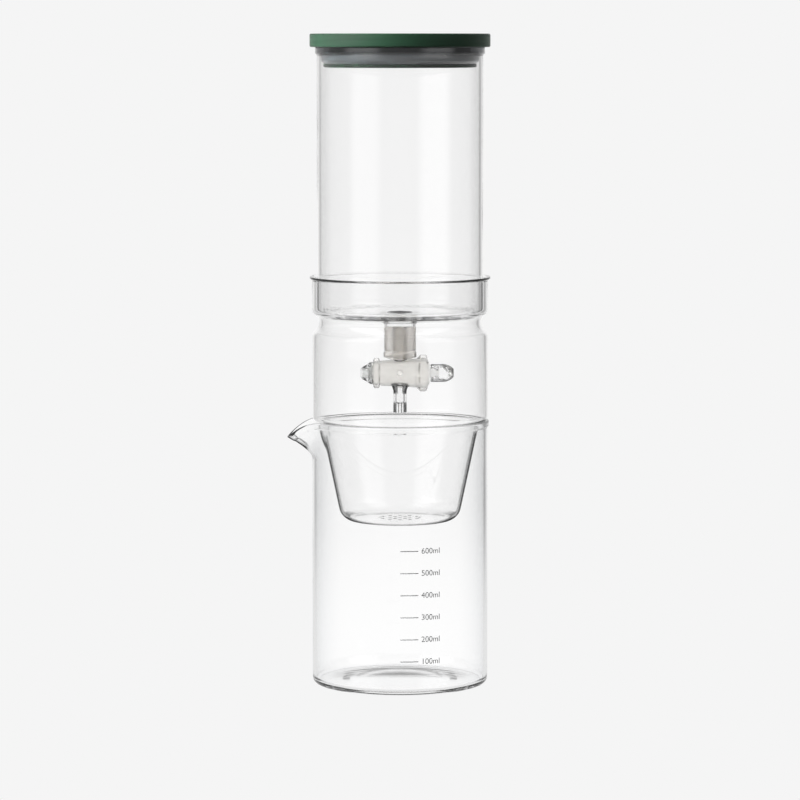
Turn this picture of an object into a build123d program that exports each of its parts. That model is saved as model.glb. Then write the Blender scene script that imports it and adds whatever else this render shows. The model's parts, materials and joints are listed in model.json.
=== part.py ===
"""Cold drip coffee maker: a glass carafe, brew chamber and water tank, with a stopcock and a lid.

Millimetres, +Z up. The origin is the centre of the carafe's foot, on the stack's axis.
The spout points to -X and the valve's knob to +X.
"""
import os
from math import cos, radians, sqrt, tan

from build123d import *

# Glass tube that the carafe and the brew chamber are drawn from
GLASS_D = 97.2

# Carafe
CARAFE_H = 147.0
CARAFE_WALL = 2.0
CARAFE_FLOOR = 3.0
CARAFE_FOOT_ROUND = 4.0
CARAFE_LIP = 0.7            # how far the rim flares past the wall
CARAFE_LIP_H = 3.0
CARAFE_RIM_ROUND = 0.9
PUNT_D = 64.0               # hollow under the foot
PUNT_RISE = 1.2

# Pouring spout, pulled out of the carafe's rim
SPOUT_OUT = 13.9            # past the carafe's wall
SPOUT_W = 37.6
SPOUT_DROP = 9.5            # of the tip, below the rim
SPOUT_SLOPE = 30.0          # degrees, of the underside
SPOUT_TIP_W = 7.0           # at the rim's height, over the tip
SPOUT_SWELL = 0.85          # power by which it widens from the tip
SPOUT_LIP_START = 2.5       # inside the wall
SPOUT_LIP_BEND = 6.7        # tip back to where the lip's curve turns
SPOUT_LIP_SLOPE = 45.0      # degrees, at the tip

# Brew chamber
CHAMBER_WALL = 2.0
CHAMBER_LIP = 1.4           # how far the rim flares past the wall
COLLAR_H = 25.4             # rim above the pinched neck
VALVE_ROOM_H = 55.0         # pinched neck above the shoulder
PINCH_DEPTH = 4.0           # of the pinch, in from the wall
PINCH_ROUND = 5.0
PINCH_EASE = 4.4            # rounding where the pinch meets the wall
PINCH_SLOPE = 45.0          # degrees, of the pinch's flanks
SHOULDER_ROUND = 4.4
CUP_LEDGE = 0.1             # flat between the cup's neck and the shoulder
CUP_DEPTH = 55.2            # shoulder to the cup's underside
CUP_TAPER = 11.2            # degrees from the axis
CUP_ROUND = 9.5
CUP_NECK_ROUND = 1.4
DRIP_HOLE_D = 2.0
DRIP_HOLE_PITCH = 5.5
DRIP_HOLE_RINGS = 2

# Water tank
COLLAR_GAP = 0.8            # tank's wall to the collar around it
TANK_H = 148.05
TANK_WALL = 2.0
TANK_FLOOR = 2.6
TANK_FOOT_ROUND = 5.0
TANK_BEAD = 1.0             # how far the rim's bead stands out
TANK_BEAD_H = 3.4
TANK_RIM_ROUND = 0.8
NECK_D = 17.7
NECK_WALL = 1.6
NECK_L = 18.6
NECK_EASE = 2.4
NECK_RIM_ROUND = 0.6

# Silicone stopper in the tank's neck
STOPPER_L = 14.0
STOPPER_FLANGE = 0.25       # past the neck's wall
STOPPER_FLANGE_EDGE = 2.4
STOPPER_FLANGE_CONE = 1.4
STOPPER_GAP = 1.2           # step between the glass rim and the flange's edge
STOPPER_HOLE_D = 5.0
STOPPER_FUNNEL = 2.6

# Stopcock
VALVE_DROP = 12.6           # neck's rim down to the key's axis
KEY_D = 11.0                # on the drip axis
KEY_TAPER = 0.1             # diameter per length, as ground tapers have
KEY_BORE = 3.0
KEY_SHANK_D = 4.8
KEY_FIT = 0.05              # radial running clearance
BARREL_WALL = 2.0
BARREL_SMALL_END = 14.8     # from the drip axis, to -X
BARREL_BIG_END = 15.6       # from the drip axis, to +X
BARREL_BEAD = 1.5           # small end's bead past the body
BARREL_BEAD_W = 3.6
BARREL_BELL = 2.3           # big end's bell past the body
BARREL_BELL_W = 6.6
BARREL_BELL_MOUTH = 1.6     # wall at the bell's end
BARREL_ROUND = 1.3
TUBE_D = 7.3
TUBE_BORE = 4.0
DRIP_L = 21.8               # key's axis down to the tube's end
TIP_D = 5.3
TIP_L = 5.6
TIP_BORE = 1.6
PUSH_FIT = 0.03             # radial, between pieces pushed together

# Knob at the key's big end, retainer at its small end
KEY_HEAD = 0.7              # key's face past the barrel
KNOB_GAP = 0.6
KNOB_D = 9.8
KNOB_STEM = 5.5
KNOB_TAB = 7.3
KNOB_TAB_W = 8.6
KNOB_TAB_T = 4.2
KNOB_TURN = 35.0            # degrees, tab from upright
KNOB_SOCKET = 4.6
WASHER_D = 12.4
WASHER_T = 0.7
WASHER_PLAY = 0.1
RING_T = 1.6
RETAINER_RIM = 0.4          # past the washer
RETAINER_TIP = 0.2          # past the shank
RETAINER_L = 6.3
RETAINER_ROUND = 1.5
RETAINER_FLOOR = 1.4

# Lid
LID_OVERHANG = 3.9          # past the tank's wall
LID_T = 7.4
LID_ROUND = 0.9
PLUG_FLANGE = 1.9
PLUG_INSET = 1.4            # flange's edge inside the seal's
PLUG_WALL = 2.2
PLUG_SPIGOT = 3.2
SEAL_T = 4.6                # radial
SEAL_H = 6.6
SEAL_DROP = 2.7             # cap's underside to the seal
SEAL_SWEEP = 3.0            # how far the seal's lower edge draws in
LID_FIT = 0.25              # seal to the tank's wall
SOCKET_FIT = 0.05

# Gap between curved glass faces that rest on each other
REST_GAP = 0.2


def section(corners):
    """Closed face from (radius, height, rounding) corners, in the XZ plane."""
    points = [(r, z) for r, z, _ in corners]
    roundings = [rounding for _, _, rounding in corners]
    outline = FilletPolyline(*points, radius=roundings, close=True)
    return Plane.XZ * make_face(outline)


def turned(corners):
    """Solid of revolution about Z."""
    return revolve(section(corners), Axis.Z)


def turned_on_key_axis(corners):
    """Solid of revolution about the key's axis, from (along, radius, rounding) corners."""
    return Pos(0, 0, VALVE_Z) * revolve(section(corners), Axis.X)


def inner_line(corners, wall):
    """The line one wall inside an open line of corners that has its inside on the left."""
    points = [Vector(r, z) for r, z, _ in corners]
    directions = [(b - a).normalized() for a, b in zip(points, points[1:])]
    normals = [Vector(-d.Y, d.X) for d in directions]
    last = len(points) - 1
    inner = []
    for i, point in enumerate(points):
        before = normals[max(i - 1, 0)]
        after = normals[min(i, last - 1)]
        moved = point + (before + after) * (wall / (1 + before.dot(after)))
        rounding = corners[i][2]
        if 0 < i < last and rounding > 0:
            bend = directions[i - 1].cross(directions[i]).Z
            rounding = rounding - wall if bend > 0 else rounding + wall
        inner.append((moved.X, moved.Y, max(rounding, 0)))
    return inner


def seat_height(upper_radius, upper_round, lower_radius, lower_round):
    """Height between the centres of two roundings, one resting on the other."""
    reach = upper_round + lower_round + REST_GAP
    return sqrt(reach ** 2 - (lower_radius - upper_radius) ** 2)


def key_radius(along):
    """Radius of the ground taper at a distance along the key."""
    return (KEY_D + KEY_TAPER * along) / 2


# Radii that several pieces share
carafe_r = GLASS_D / 2
chamber_r = GLASS_D / 2
tank_r = chamber_r - CHAMBER_WALL - COLLAR_GAP
tank_bore_r = tank_r - TANK_WALL
neck_r = NECK_D / 2
neck_bore_r = neck_r - NECK_WALL
tube_r = TUBE_D / 2

# Heights up the stack: each piece rests on the one below
rim_centre_r = carafe_r - CARAFE_WALL + CARAFE_RIM_ROUND
shoulder_rise = seat_height(chamber_r - SHOULDER_ROUND, SHOULDER_ROUND, rim_centre_r, CARAFE_RIM_ROUND)
SHOULDER_Z = CARAFE_H - CARAFE_RIM_ROUND + shoulder_rise - SHOULDER_ROUND
PINCH_Z = SHOULDER_Z + VALVE_ROOM_H
CHAMBER_TOP_Z = PINCH_Z + COLLAR_H
CUP_BASE_Z = SHOULDER_Z - CUP_DEPTH
pinch_centre_r = chamber_r - PINCH_DEPTH + PINCH_ROUND
tank_rise = seat_height(tank_r - TANK_FOOT_ROUND, TANK_FOOT_ROUND, pinch_centre_r, PINCH_ROUND + CHAMBER_WALL)
TANK_Z = PINCH_Z + tank_rise - TANK_FOOT_ROUND
TANK_TOP_Z = TANK_Z + TANK_H
NECK_END_Z = TANK_Z - NECK_L
VALVE_Z = NECK_END_Z - VALVE_DROP
INLET_TOP_Z = NECK_END_Z + STOPPER_L - STOPPER_FUNNEL
LID_TOP_Z = TANK_TOP_Z + LID_T

# Places along the key
key_end = BARREL_BIG_END + KEY_HEAD
knob_start = key_end + KNOB_GAP
washer_face = BARREL_SMALL_END + WASHER_PLAY
retainer_face = washer_face + WASHER_T


def spout_section(share, inset, top_z):
    """Upright face across the spout, at a share of its length from the tip.

    The spout is a beak: half ellipses under the rim that widen and deepen from the tip to the wall.
    A face with an inset is the channel inside, open up to top_z.
    """
    along = share * SPOUT_OUT
    slope = radians(SPOUT_SLOPE)
    depth = SPOUT_DROP + along * tan(slope) - inset / cos(slope)
    half_w = (SPOUT_TIP_W + (SPOUT_W - SPOUT_TIP_W) * min(share, 1) ** SPOUT_SWELL) / 2 - inset
    plane = Plane(origin=(along - carafe_r - SPOUT_OUT, 0, 0), x_dir=(0, 1, 0), z_dir=(1, 0, 0))
    keel = EllipticalCenterArc((0, CARAFE_H), half_w, depth, start_angle=180, arc_size=180)
    sides = Polyline(keel @ 1, (half_w, top_z), (-half_w, top_z), keel @ 0)
    return plane * make_face(keel + sides)


def spout_lip(top_z):
    """What is cut away over the spout's drooping lip."""
    tip_x = -carafe_r - SPOUT_OUT
    start = (-carafe_r + SPOUT_LIP_START, CARAFE_H)
    bend = (tip_x + SPOUT_LIP_BEND, CARAFE_H - SPOUT_DROP + SPOUT_LIP_BEND * tan(radians(SPOUT_LIP_SLOPE)))
    tip = (tip_x, CARAFE_H - SPOUT_DROP)
    lip = Bezier(start, bend, tip)
    sides = Polyline(tip, (tip_x, top_z), (start[0], top_z), start)
    return extrude(Plane.XZ * make_face(lip + sides), SPOUT_W, both=True)


def make_carafe():
    """Lower jug: straight wall, flared rim, hollow foot and a pulled spout."""
    outer_r = carafe_r + CARAFE_LIP
    bore_r = carafe_r - CARAFE_WALL
    lip_z = CARAFE_H - CARAFE_LIP_H
    over = CARAFE_H + CARAFE_LIP_H
    jug = turned([
        (0, PUNT_RISE, 0),
        (PUNT_D / 2, 0, PUNT_D / 4),
        (carafe_r, 0, CARAFE_FOOT_ROUND),
        (carafe_r, lip_z - CARAFE_LIP, CARAFE_LIP),
        (outer_r, lip_z, CARAFE_LIP),
        (outer_r, CARAFE_H, CARAFE_RIM_ROUND),
        (0, CARAFE_H, 0),
    ])
    inside = turned([
        (0, PUNT_RISE + CARAFE_FLOOR, 0),
        (PUNT_D / 2, CARAFE_FLOOR, PUNT_D / 4),
        (bore_r, CARAFE_FLOOR, CARAFE_FOOT_ROUND - CARAFE_WALL / 2),
        (bore_r, CARAFE_H - CARAFE_RIM_ROUND, 0),
        (bore_r + CARAFE_RIM_ROUND, CARAFE_H, 0),
        (0, CARAFE_H, 0),
    ])
    # The beak runs from inside the wall to the tip
    root = 1 + 2 * CARAFE_WALL / SPOUT_OUT
    shares = (root, 1, 0.66, 0.33, 0)
    beak = loft([spout_section(share, 0, over) for share in shares])
    channel = loft([spout_section(share, CARAFE_WALL, over) for share in shares])
    above = Pos(0, 0, CARAFE_H) * Cylinder(GLASS_D, 2 * over, align=(Align.CENTER, Align.CENTER, Align.MIN))
    return jug + beak - inside - channel - spout_lip(over) - above


def make_brew_chamber():
    """Middle glass: flared collar, pinched neck, valve room and a tapered cup with drip holes."""
    flank = tan(radians(PINCH_SLOPE))
    pinch_r = chamber_r - PINCH_DEPTH - PINCH_ROUND * (1 / cos(radians(PINCH_SLOPE)) - 1)
    pinch_h = (chamber_r - pinch_r) / flank
    cup_neck = CUP_NECK_ROUND * tan(radians(90 - CUP_TAPER) / 2)
    cup_mouth_r = chamber_r - SHOULDER_ROUND - CUP_LEDGE - cup_neck
    cup_base_r = cup_mouth_r - CUP_DEPTH * tan(radians(CUP_TAPER))
    lip_z = CHAMBER_TOP_Z - CHAMBER_WALL
    lip_round = 0.4 * CHAMBER_LIP
    outer = [
        (0, CUP_BASE_Z, 0),
        (cup_base_r, CUP_BASE_Z, CUP_ROUND),
        (cup_mouth_r, SHOULDER_Z, CUP_NECK_ROUND),
        (chamber_r, SHOULDER_Z, SHOULDER_ROUND),
        (chamber_r, PINCH_Z - pinch_h, PINCH_EASE),
        (pinch_r, PINCH_Z, PINCH_ROUND),
        (chamber_r, PINCH_Z + pinch_h, PINCH_EASE),
        (chamber_r, lip_z, lip_round),
        (chamber_r + CHAMBER_LIP, lip_z, lip_round),
    ]
    inner = inner_line(outer, CHAMBER_WALL)
    inner[-1] = (*inner[-1][:2], lip_round)
    glass = turned(outer + inner[::-1])
    return glass - drip_holes()


def drip_holes():
    """Holes through the cup's floor: one in the middle and rings of six more each."""
    drill = Cylinder(DRIP_HOLE_D / 2, 4 * CHAMBER_WALL)
    holes = [Pos(0, 0, CUP_BASE_Z) * drill]
    for ring in range(1, DRIP_HOLE_RINGS + 1):
        for spot in PolarLocations(ring * DRIP_HOLE_PITCH, 6 * ring):
            holes.append(Pos(0, 0, CUP_BASE_Z) * spot * drill)
    return holes


def make_water_tank():
    """Upper glass: beaded rim, rounded foot and a neck under its floor."""
    bead_z = TANK_TOP_Z - TANK_BEAD_H
    bead_r = tank_r + TANK_BEAD
    floor_z = TANK_Z + TANK_FLOOR
    return turned([
        (neck_bore_r, NECK_END_Z, NECK_RIM_ROUND),
        (neck_r, NECK_END_Z, NECK_RIM_ROUND),
        (neck_r, TANK_Z, NECK_EASE),
        (tank_r, TANK_Z, TANK_FOOT_ROUND),
        (tank_r, bead_z - TANK_BEAD, TANK_BEAD),
        (bead_r, bead_z, TANK_BEAD),
        (bead_r, TANK_TOP_Z, TANK_BEAD),
        (tank_bore_r, TANK_TOP_Z, TANK_RIM_ROUND),
        (tank_bore_r, floor_z, TANK_FOOT_ROUND - TANK_WALL),
        (neck_bore_r, floor_z, TANK_FLOOR / 2),
    ])


def barrel_blank(growth=0.0):
    """Barrel's outside, grown by a clearance, without its bore."""
    bead_end = BARREL_BEAD_W - BARREL_SMALL_END
    bell_start = BARREL_BIG_END - BARREL_BELL_W
    body = BARREL_WALL + growth
    bell_r = key_radius(bell_start) + body + BARREL_BELL
    bead_r = key_radius(bead_end) + body + BARREL_BEAD
    bead_round = 0.8 * BARREL_BEAD
    mouth_r = key_radius(BARREL_BIG_END) + BARREL_BELL_MOUTH + growth
    return turned_on_key_axis([
        (-BARREL_SMALL_END, 0, 0),
        (-BARREL_SMALL_END, bead_r, bead_round),
        (bead_end, bead_r, bead_round),
        (bead_end, key_radius(bead_end) + body, 0),
        (bell_start, key_radius(bell_start) + body, BARREL_ROUND),
        (bell_start + BARREL_BELL, bell_r, BARREL_ROUND),
        (BARREL_BIG_END - (bell_r - mouth_r) / 2, bell_r, BARREL_ROUND),
        (BARREL_BIG_END, mouth_r, 0),
        (BARREL_BIG_END, 0, 0),
    ])


def upright_bar(diameter, low, high):
    """Round bar on the drip axis between two heights."""
    return Pos(0, 0, low) * Cylinder(diameter / 2, high - low, align=(Align.CENTER, Align.CENTER, Align.MIN))


def make_valve_barrel():
    """Frosted cross barrel, ground to the key's taper, with a port above and below."""
    bore = turned_on_key_axis([
        (-BARREL_SMALL_END, 0, 0),
        (-BARREL_SMALL_END, key_radius(-BARREL_SMALL_END), 0),
        (BARREL_BIG_END, key_radius(BARREL_BIG_END), 0),
        (BARREL_BIG_END, 0, 0),
    ])
    ports = upright_bar(KEY_BORE, VALVE_Z - KEY_D, VALVE_Z + KEY_D)
    return barrel_blank() - bore - ports


def make_inlet_tube():
    """Clear tube from the barrel's upper port into the stopper."""
    tube = upright_bar(TUBE_D, VALVE_Z, INLET_TOP_Z)
    tube -= upright_bar(TUBE_BORE, VALVE_Z, INLET_TOP_Z)
    return tube - barrel_blank()


def make_drip_tube():
    """Clear tube from the barrel's lower port, bored out at its end for the tip."""
    end_z = VALVE_Z - DRIP_L
    tube = upright_bar(TUBE_D, end_z, VALVE_Z)
    tube -= upright_bar(TUBE_BORE, end_z, VALVE_Z)
    tube -= upright_bar(TIP_D, end_z, end_z + TIP_L)
    return tube - barrel_blank()


def make_drip_tip():
    """Insert that sets the size of the drops."""
    end_z = VALVE_Z - DRIP_L
    top_z = end_z + TIP_L
    tip_r = TIP_D / 2 - PUSH_FIT
    return turned([
        (TIP_BORE / 2, end_z, 0),
        (tip_r, end_z, TIP_BORE / 4),
        (tip_r, top_z, TIP_BORE / 4),
        (TIP_BORE, top_z, 0),
        (TIP_BORE / 2, top_z - TIP_BORE / 2, 0),
    ])


def make_neck_stopper():
    """Silicone stopper: a plug in the tank's neck and a flange that saddles the barrel."""
    body_r = neck_bore_r - PUSH_FIT
    flange_r = neck_r + STOPPER_FLANGE
    top_z = NECK_END_Z + STOPPER_L
    edge_z = NECK_END_Z - STOPPER_GAP
    base_z = edge_z - STOPPER_FLANGE_EDGE - STOPPER_FLANGE_CONE
    stopper = turned([
        (0, base_z, 0),
        (tube_r + STOPPER_FLANGE_CONE, base_z, 0),
        (flange_r, edge_z - STOPPER_FLANGE_EDGE, STOPPER_FLANGE_CONE / 2),
        (flange_r, edge_z, STOPPER_FLANGE_CONE / 2),
        (body_r + NECK_WALL / 2, NECK_END_Z, 0),
        (body_r, NECK_END_Z, 0),
        (body_r, top_z, NECK_WALL / 2),
        (STOPPER_HOLE_D / 2 + STOPPER_FUNNEL, top_z, 0),
        (STOPPER_HOLE_D / 2, top_z - STOPPER_FUNNEL, 0),
        (0, top_z - STOPPER_FUNNEL, 0),
    ])
    stopper -= upright_bar(STOPPER_HOLE_D, base_z, top_z)
    stopper -= upright_bar(TUBE_D + 2 * PUSH_FIT, base_z, INLET_TOP_Z)
    return stopper - barrel_blank(PUSH_FIT)


def make_valve_key():
    """Tapered plug with a cross bore, closed at rest, and a shank at each end."""
    shank_r = KEY_SHANK_D / 2
    small_face = -BARREL_SMALL_END
    knob_end = knob_start + KNOB_SOCKET
    small_end = retainer_face + RETAINER_L - RETAINER_FLOOR
    key = turned_on_key_axis([
        (-small_end, 0, 0),
        (-small_end, shank_r, shank_r / 4),
        (small_face, shank_r, 0),
        (small_face, key_radius(small_face) - KEY_FIT, 0),
        (key_end, key_radius(key_end) - KEY_FIT, KEY_HEAD / 2),
        (key_end, shank_r, 0),
        (knob_end, shank_r, shank_r / 4),
        (knob_end, 0, 0),
    ])
    cross_bore = Pos(0, 0, VALVE_Z) * Rot(90, 0, 0) * Cylinder(KEY_BORE / 2, 2 * KEY_D)
    return key - cross_bore


def make_valve_knob():
    """Clear grip: a round stem that is pressed flat to a tab."""
    tab_start = knob_start + KNOB_STEM
    tab_end = tab_start + KNOB_TAB
    tab_round = 0.38 * KNOB_TAB_T
    stem = turned_on_key_axis([
        (knob_start, 0, 0),
        (knob_start, KNOB_D / 2, tab_round / 4),
        (tab_start, KNOB_D / 2, 0),
        (tab_start, 0, 0),
    ])
    grip = Ellipse(KNOB_TAB_T / 2, KNOB_TAB_W / 2)
    end = Ellipse(KNOB_TAB_T / 2 - tab_round, KNOB_TAB_W / 2 - tab_round)
    tab = loft([
        Plane.YZ.offset(tab_start) * Circle(KNOB_D / 2),
        Plane.YZ.offset(tab_end - tab_round) * grip,
        Plane.YZ.offset(tab_end) * end,
    ])
    tab = Pos(0, 0, VALVE_Z) * Rot(KNOB_TURN, 0, 0) * tab
    socket = turned_on_key_axis([
        (knob_start, 0, 0),
        (knob_start, KEY_SHANK_D / 2 + PUSH_FIT, 0),
        (knob_start + KNOB_SOCKET, KEY_SHANK_D / 2 + PUSH_FIT, 0),
        (knob_start + KNOB_SOCKET, 0, 0),
    ])
    return stem + tab - socket


def make_retainer_washer():
    """Slip washer on the barrel's small end."""
    return turned_on_key_axis([
        (-retainer_face, KEY_SHANK_D / 2 + PUSH_FIT, 0),
        (-retainer_face, WASHER_D / 2, WASHER_T / 4),
        (-washer_face, WASHER_D / 2, WASHER_T / 4),
        (-washer_face, KEY_SHANK_D / 2 + PUSH_FIT, 0),
    ])


def make_retainer_o_ring():
    """Ring that presses the washer on the barrel."""
    ring = Torus(KEY_SHANK_D / 2 + PUSH_FIT + RING_T / 2, RING_T / 2)
    return Pos(-retainer_face - RING_T / 2, 0, VALVE_Z) * Rot(0, 90, 0) * ring


def make_key_retainer():
    """Clear cone on the key's small shank, with a pocket for the ring."""
    shank_r = KEY_SHANK_D / 2 + PUSH_FIT
    end = retainer_face + RETAINER_L
    shank_end = end - RETAINER_FLOOR
    pocket_r = shank_r + RING_T + PUSH_FIT
    return turned_on_key_axis([
        (-end, 0, 0),
        (-end, shank_r + RETAINER_TIP, RETAINER_ROUND),
        (-retainer_face, WASHER_D / 2 + RETAINER_RIM, RETAINER_ROUND / 3),
        (-retainer_face, pocket_r, 0),
        (-retainer_face - RING_T - PUSH_FIT, pocket_r, 0),
        (-retainer_face - RING_T - PUSH_FIT, shank_r, 0),
        (-shank_end, shank_r, 0),
        (-shank_end, 0, 0),
    ])


# Lid radii and heights that its pieces share
seal_r = tank_bore_r - LID_FIT
groove_r = seal_r - SEAL_T
spigot_r = groove_r - PLUG_WALL / 2
lid_r = tank_r + LID_OVERHANG
seal_top_z = TANK_TOP_Z - SEAL_DROP
seal_base_z = seal_top_z - SEAL_H
plug_base_z = seal_base_z - PLUG_FLANGE


def make_lid_cap():
    """Disc that rests on the tank's rim, with a socket for the plug."""
    socket_r = spigot_r + SOCKET_FIT
    return turned([
        (0, TANK_TOP_Z + PLUG_SPIGOT, 0),
        (socket_r, TANK_TOP_Z + PLUG_SPIGOT, 0),
        (socket_r, TANK_TOP_Z, 0),
        (lid_r, TANK_TOP_Z, LID_ROUND),
        (lid_r, LID_TOP_Z, LID_ROUND),
        (0, LID_TOP_Z, 0),
    ])


def make_lid_plug():
    """Hollow plug under the cap: a groove for the seal over a bottom flange."""
    flange_r = seal_r - PLUG_INSET
    hollow_r = spigot_r - PLUG_WALL
    return turned([
        (0, plug_base_z, 0),
        (flange_r, plug_base_z, PLUG_FLANGE / 3),
        (flange_r, plug_base_z + PLUG_FLANGE, PLUG_FLANGE / 3),
        (groove_r, plug_base_z + PLUG_FLANGE, 0),
        (groove_r, TANK_TOP_Z, 0),
        (spigot_r, TANK_TOP_Z, 0),
        (spigot_r, TANK_TOP_Z + PLUG_SPIGOT, 0),
        (hollow_r, TANK_TOP_Z + PLUG_SPIGOT, 0),
        (hollow_r, plug_base_z + PLUG_WALL, PLUG_WALL / 2),
        (0, plug_base_z + PLUG_WALL, 0),
    ])


def make_lid_seal():
    """Silicone ring whose lower edge draws in, so that it enters the glass."""
    bore_r = groove_r + SOCKET_FIT
    return turned([
        (bore_r, seal_base_z, 0),
        (seal_r - SEAL_SWEEP, seal_base_z, SEAL_SWEEP / 4),
        (seal_r, seal_base_z + SEAL_SWEEP, SEAL_SWEEP),
        (seal_r, seal_top_z, SEAL_SWEEP / 4),
        (bore_r, seal_top_z, 0),
    ])


MAKERS = {
    "carafe": make_carafe,
    "brew_chamber": make_brew_chamber,
    "water_tank": make_water_tank,
    "neck_stopper": make_neck_stopper,
    "valve_barrel": make_valve_barrel,
    "inlet_tube": make_inlet_tube,
    "drip_tube": make_drip_tube,
    "drip_tip": make_drip_tip,
    "valve_key": make_valve_key,
    "valve_knob": make_valve_knob,
    "retainer_washer": make_retainer_washer,
    "retainer_o_ring": make_retainer_o_ring,
    "key_retainer": make_key_retainer,
    "lid_cap": make_lid_cap,
    "lid_plug": make_lid_plug,
    "lid_seal": make_lid_seal,
}

os.makedirs("parts", exist_ok=True)
for node, maker in MAKERS.items():
    export_step(maker(), f"parts/{node}.step")
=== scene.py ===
"""Looks of a cold drip coffee maker: its glass, stopcock, lid and printed scale, in a pale studio.

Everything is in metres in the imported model's frame, with sizes given in millimetres.
The glass is turned again from the solids' outlines, finer, so that light bends through it smoothly.
"""

import json
import logging
import math
from dataclasses import dataclass
from enum import Enum

import bmesh
import bpy
import numpy as np
from mathutils import Matrix, Vector

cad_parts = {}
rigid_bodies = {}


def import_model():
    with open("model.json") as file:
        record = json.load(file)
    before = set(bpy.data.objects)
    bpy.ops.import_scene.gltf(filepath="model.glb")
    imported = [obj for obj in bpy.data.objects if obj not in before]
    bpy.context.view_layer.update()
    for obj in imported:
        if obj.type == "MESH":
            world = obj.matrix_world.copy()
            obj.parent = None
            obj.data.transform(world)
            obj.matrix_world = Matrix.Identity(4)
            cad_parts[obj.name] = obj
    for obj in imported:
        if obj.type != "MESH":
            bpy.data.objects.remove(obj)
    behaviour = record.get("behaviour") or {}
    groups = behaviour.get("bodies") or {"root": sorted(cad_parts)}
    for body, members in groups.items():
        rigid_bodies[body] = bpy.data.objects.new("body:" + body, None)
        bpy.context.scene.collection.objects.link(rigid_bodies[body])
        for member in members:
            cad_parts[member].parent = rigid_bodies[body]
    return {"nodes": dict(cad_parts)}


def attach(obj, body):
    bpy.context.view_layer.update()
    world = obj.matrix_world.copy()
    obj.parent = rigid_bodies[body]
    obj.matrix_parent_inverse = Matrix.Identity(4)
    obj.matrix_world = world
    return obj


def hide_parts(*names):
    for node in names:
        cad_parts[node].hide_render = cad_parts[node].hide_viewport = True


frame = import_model()

log = logging.getLogger("coffee_maker")

MM = 0.001
SHARP_FROM = math.radians(40)
WHITE = "#ffffff"

Corner = tuple[float, float, float]
Point = tuple[float, float]
Tree = bpy.types.NodeTree
Node = bpy.types.Node
Socket = bpy.types.NodeSocket
Source = Node | Socket | float
Material = bpy.types.Material
Mesh = bpy.types.Mesh
Piece = bpy.types.Object


class Body(Enum):
    """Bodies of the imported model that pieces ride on."""

    CARAFE = "carafe"
    CHAMBER = "brew_chamber"
    TANK = "water_tank"
    KEY = "valve_key"
    LID = "lid"


class Slot(Enum):
    """Material slots of the record, passed with the new pieces but not given to them."""

    CLEAR_GLASS = "clear_glass"
    FROSTED_GLASS = "frosted_glass"
    STOPPER = "stopper_silicone"
    SEAL = "seal_silicone"
    GREEN = "green_plastic"


class Axis(Enum):
    """Axis of the frame that a zone of the glass is measured along."""

    ACROSS = "X"
    UP = "Z"


# Nodes and colours


def linear(code: str) -> tuple[float, float, float, float]:
    """Turns an sRGB hex code into a linear colour.

    Args:
        code: six hex digits after a hash sign.

    Returns:
        Linear red, green, blue and an alpha of 1.
    """
    parts = [int(code[i : i + 2], 16) / 255 for i in (1, 3, 5)]
    return (*[p / 12.92 if p <= 0.04045 else ((p + 0.055) / 1.055) ** 2.4 for p in parts], 1.0)


def add_node(tree: Tree, kind: str, inputs: dict | None = None, **settings: object) -> Node:
    """Adds a node, sets it and links what feeds it.

    Args:
        tree: the tree that gets the node.
        kind: the node's type name.
        inputs: by input name or index, a value, an output socket, a node whose first output is
            meant, or a list of these for an input that takes several.
        settings: the node's own properties.

    Returns:
        The new node.
    """
    node = tree.nodes.new(kind)
    for name, value in settings.items():
        setattr(node, name, value)
    for name, value in (inputs or {}).items():
        for source in value if isinstance(value, list) else [value]:
            if isinstance(source, Node):
                source = source.outputs[0]
            if isinstance(source, Socket):
                tree.links.new(source, node.inputs[name])
            else:
                node.inputs[name].default_value = source
    return node


def new_material(name: str) -> tuple[Material, Tree]:
    """Makes an empty node material.

    Args:
        name: the material's name.

    Returns:
        The material and its cleared tree.
    """
    material = bpy.data.materials.new(name)
    material.use_nodes = True
    material.node_tree.nodes.clear()
    return material, material.node_tree


def per_metre(size_mm: float) -> float:
    """Texture scale of a pattern that repeats every size_mm."""
    return 1 / (size_mm * MM)


# Outlines


def rounded(corners: list[Corner], closed: bool, steps: int = 8) -> list[Point]:
    """Rounds the corners of an outline.

    Args:
        corners: radius, height and rounding of each corner.
        closed: whether the last corner joins the first.
        steps: runs that each rounding is drawn with.

    Returns:
        Points along the outline.
    """
    points = [Vector(c[:2]) for c in corners]
    count = len(corners)
    line: list[Point] = []
    for i, (r, z, rounding) in enumerate(corners):
        if rounding <= 0 or (not closed and i in (0, count - 1)):
            line.append((r, z))
            continue
        here = points[i]
        back = (points[i - 1] - here).normalized()
        on = (points[(i + 1) % count] - here).normalized()
        half = back.angle(on) / 2
        reach = rounding / math.tan(half)
        middle = here + (back + on).normalized() * (rounding / math.sin(half))
        first = here + back * reach - middle
        last = here + on * reach - middle
        sweep = first.angle_signed(last)
        for k in range(steps + 1):
            spot = middle + Matrix.Rotation(-sweep * k / steps, 2) @ first
            line.append((spot.x, spot.y))
    return line


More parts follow.
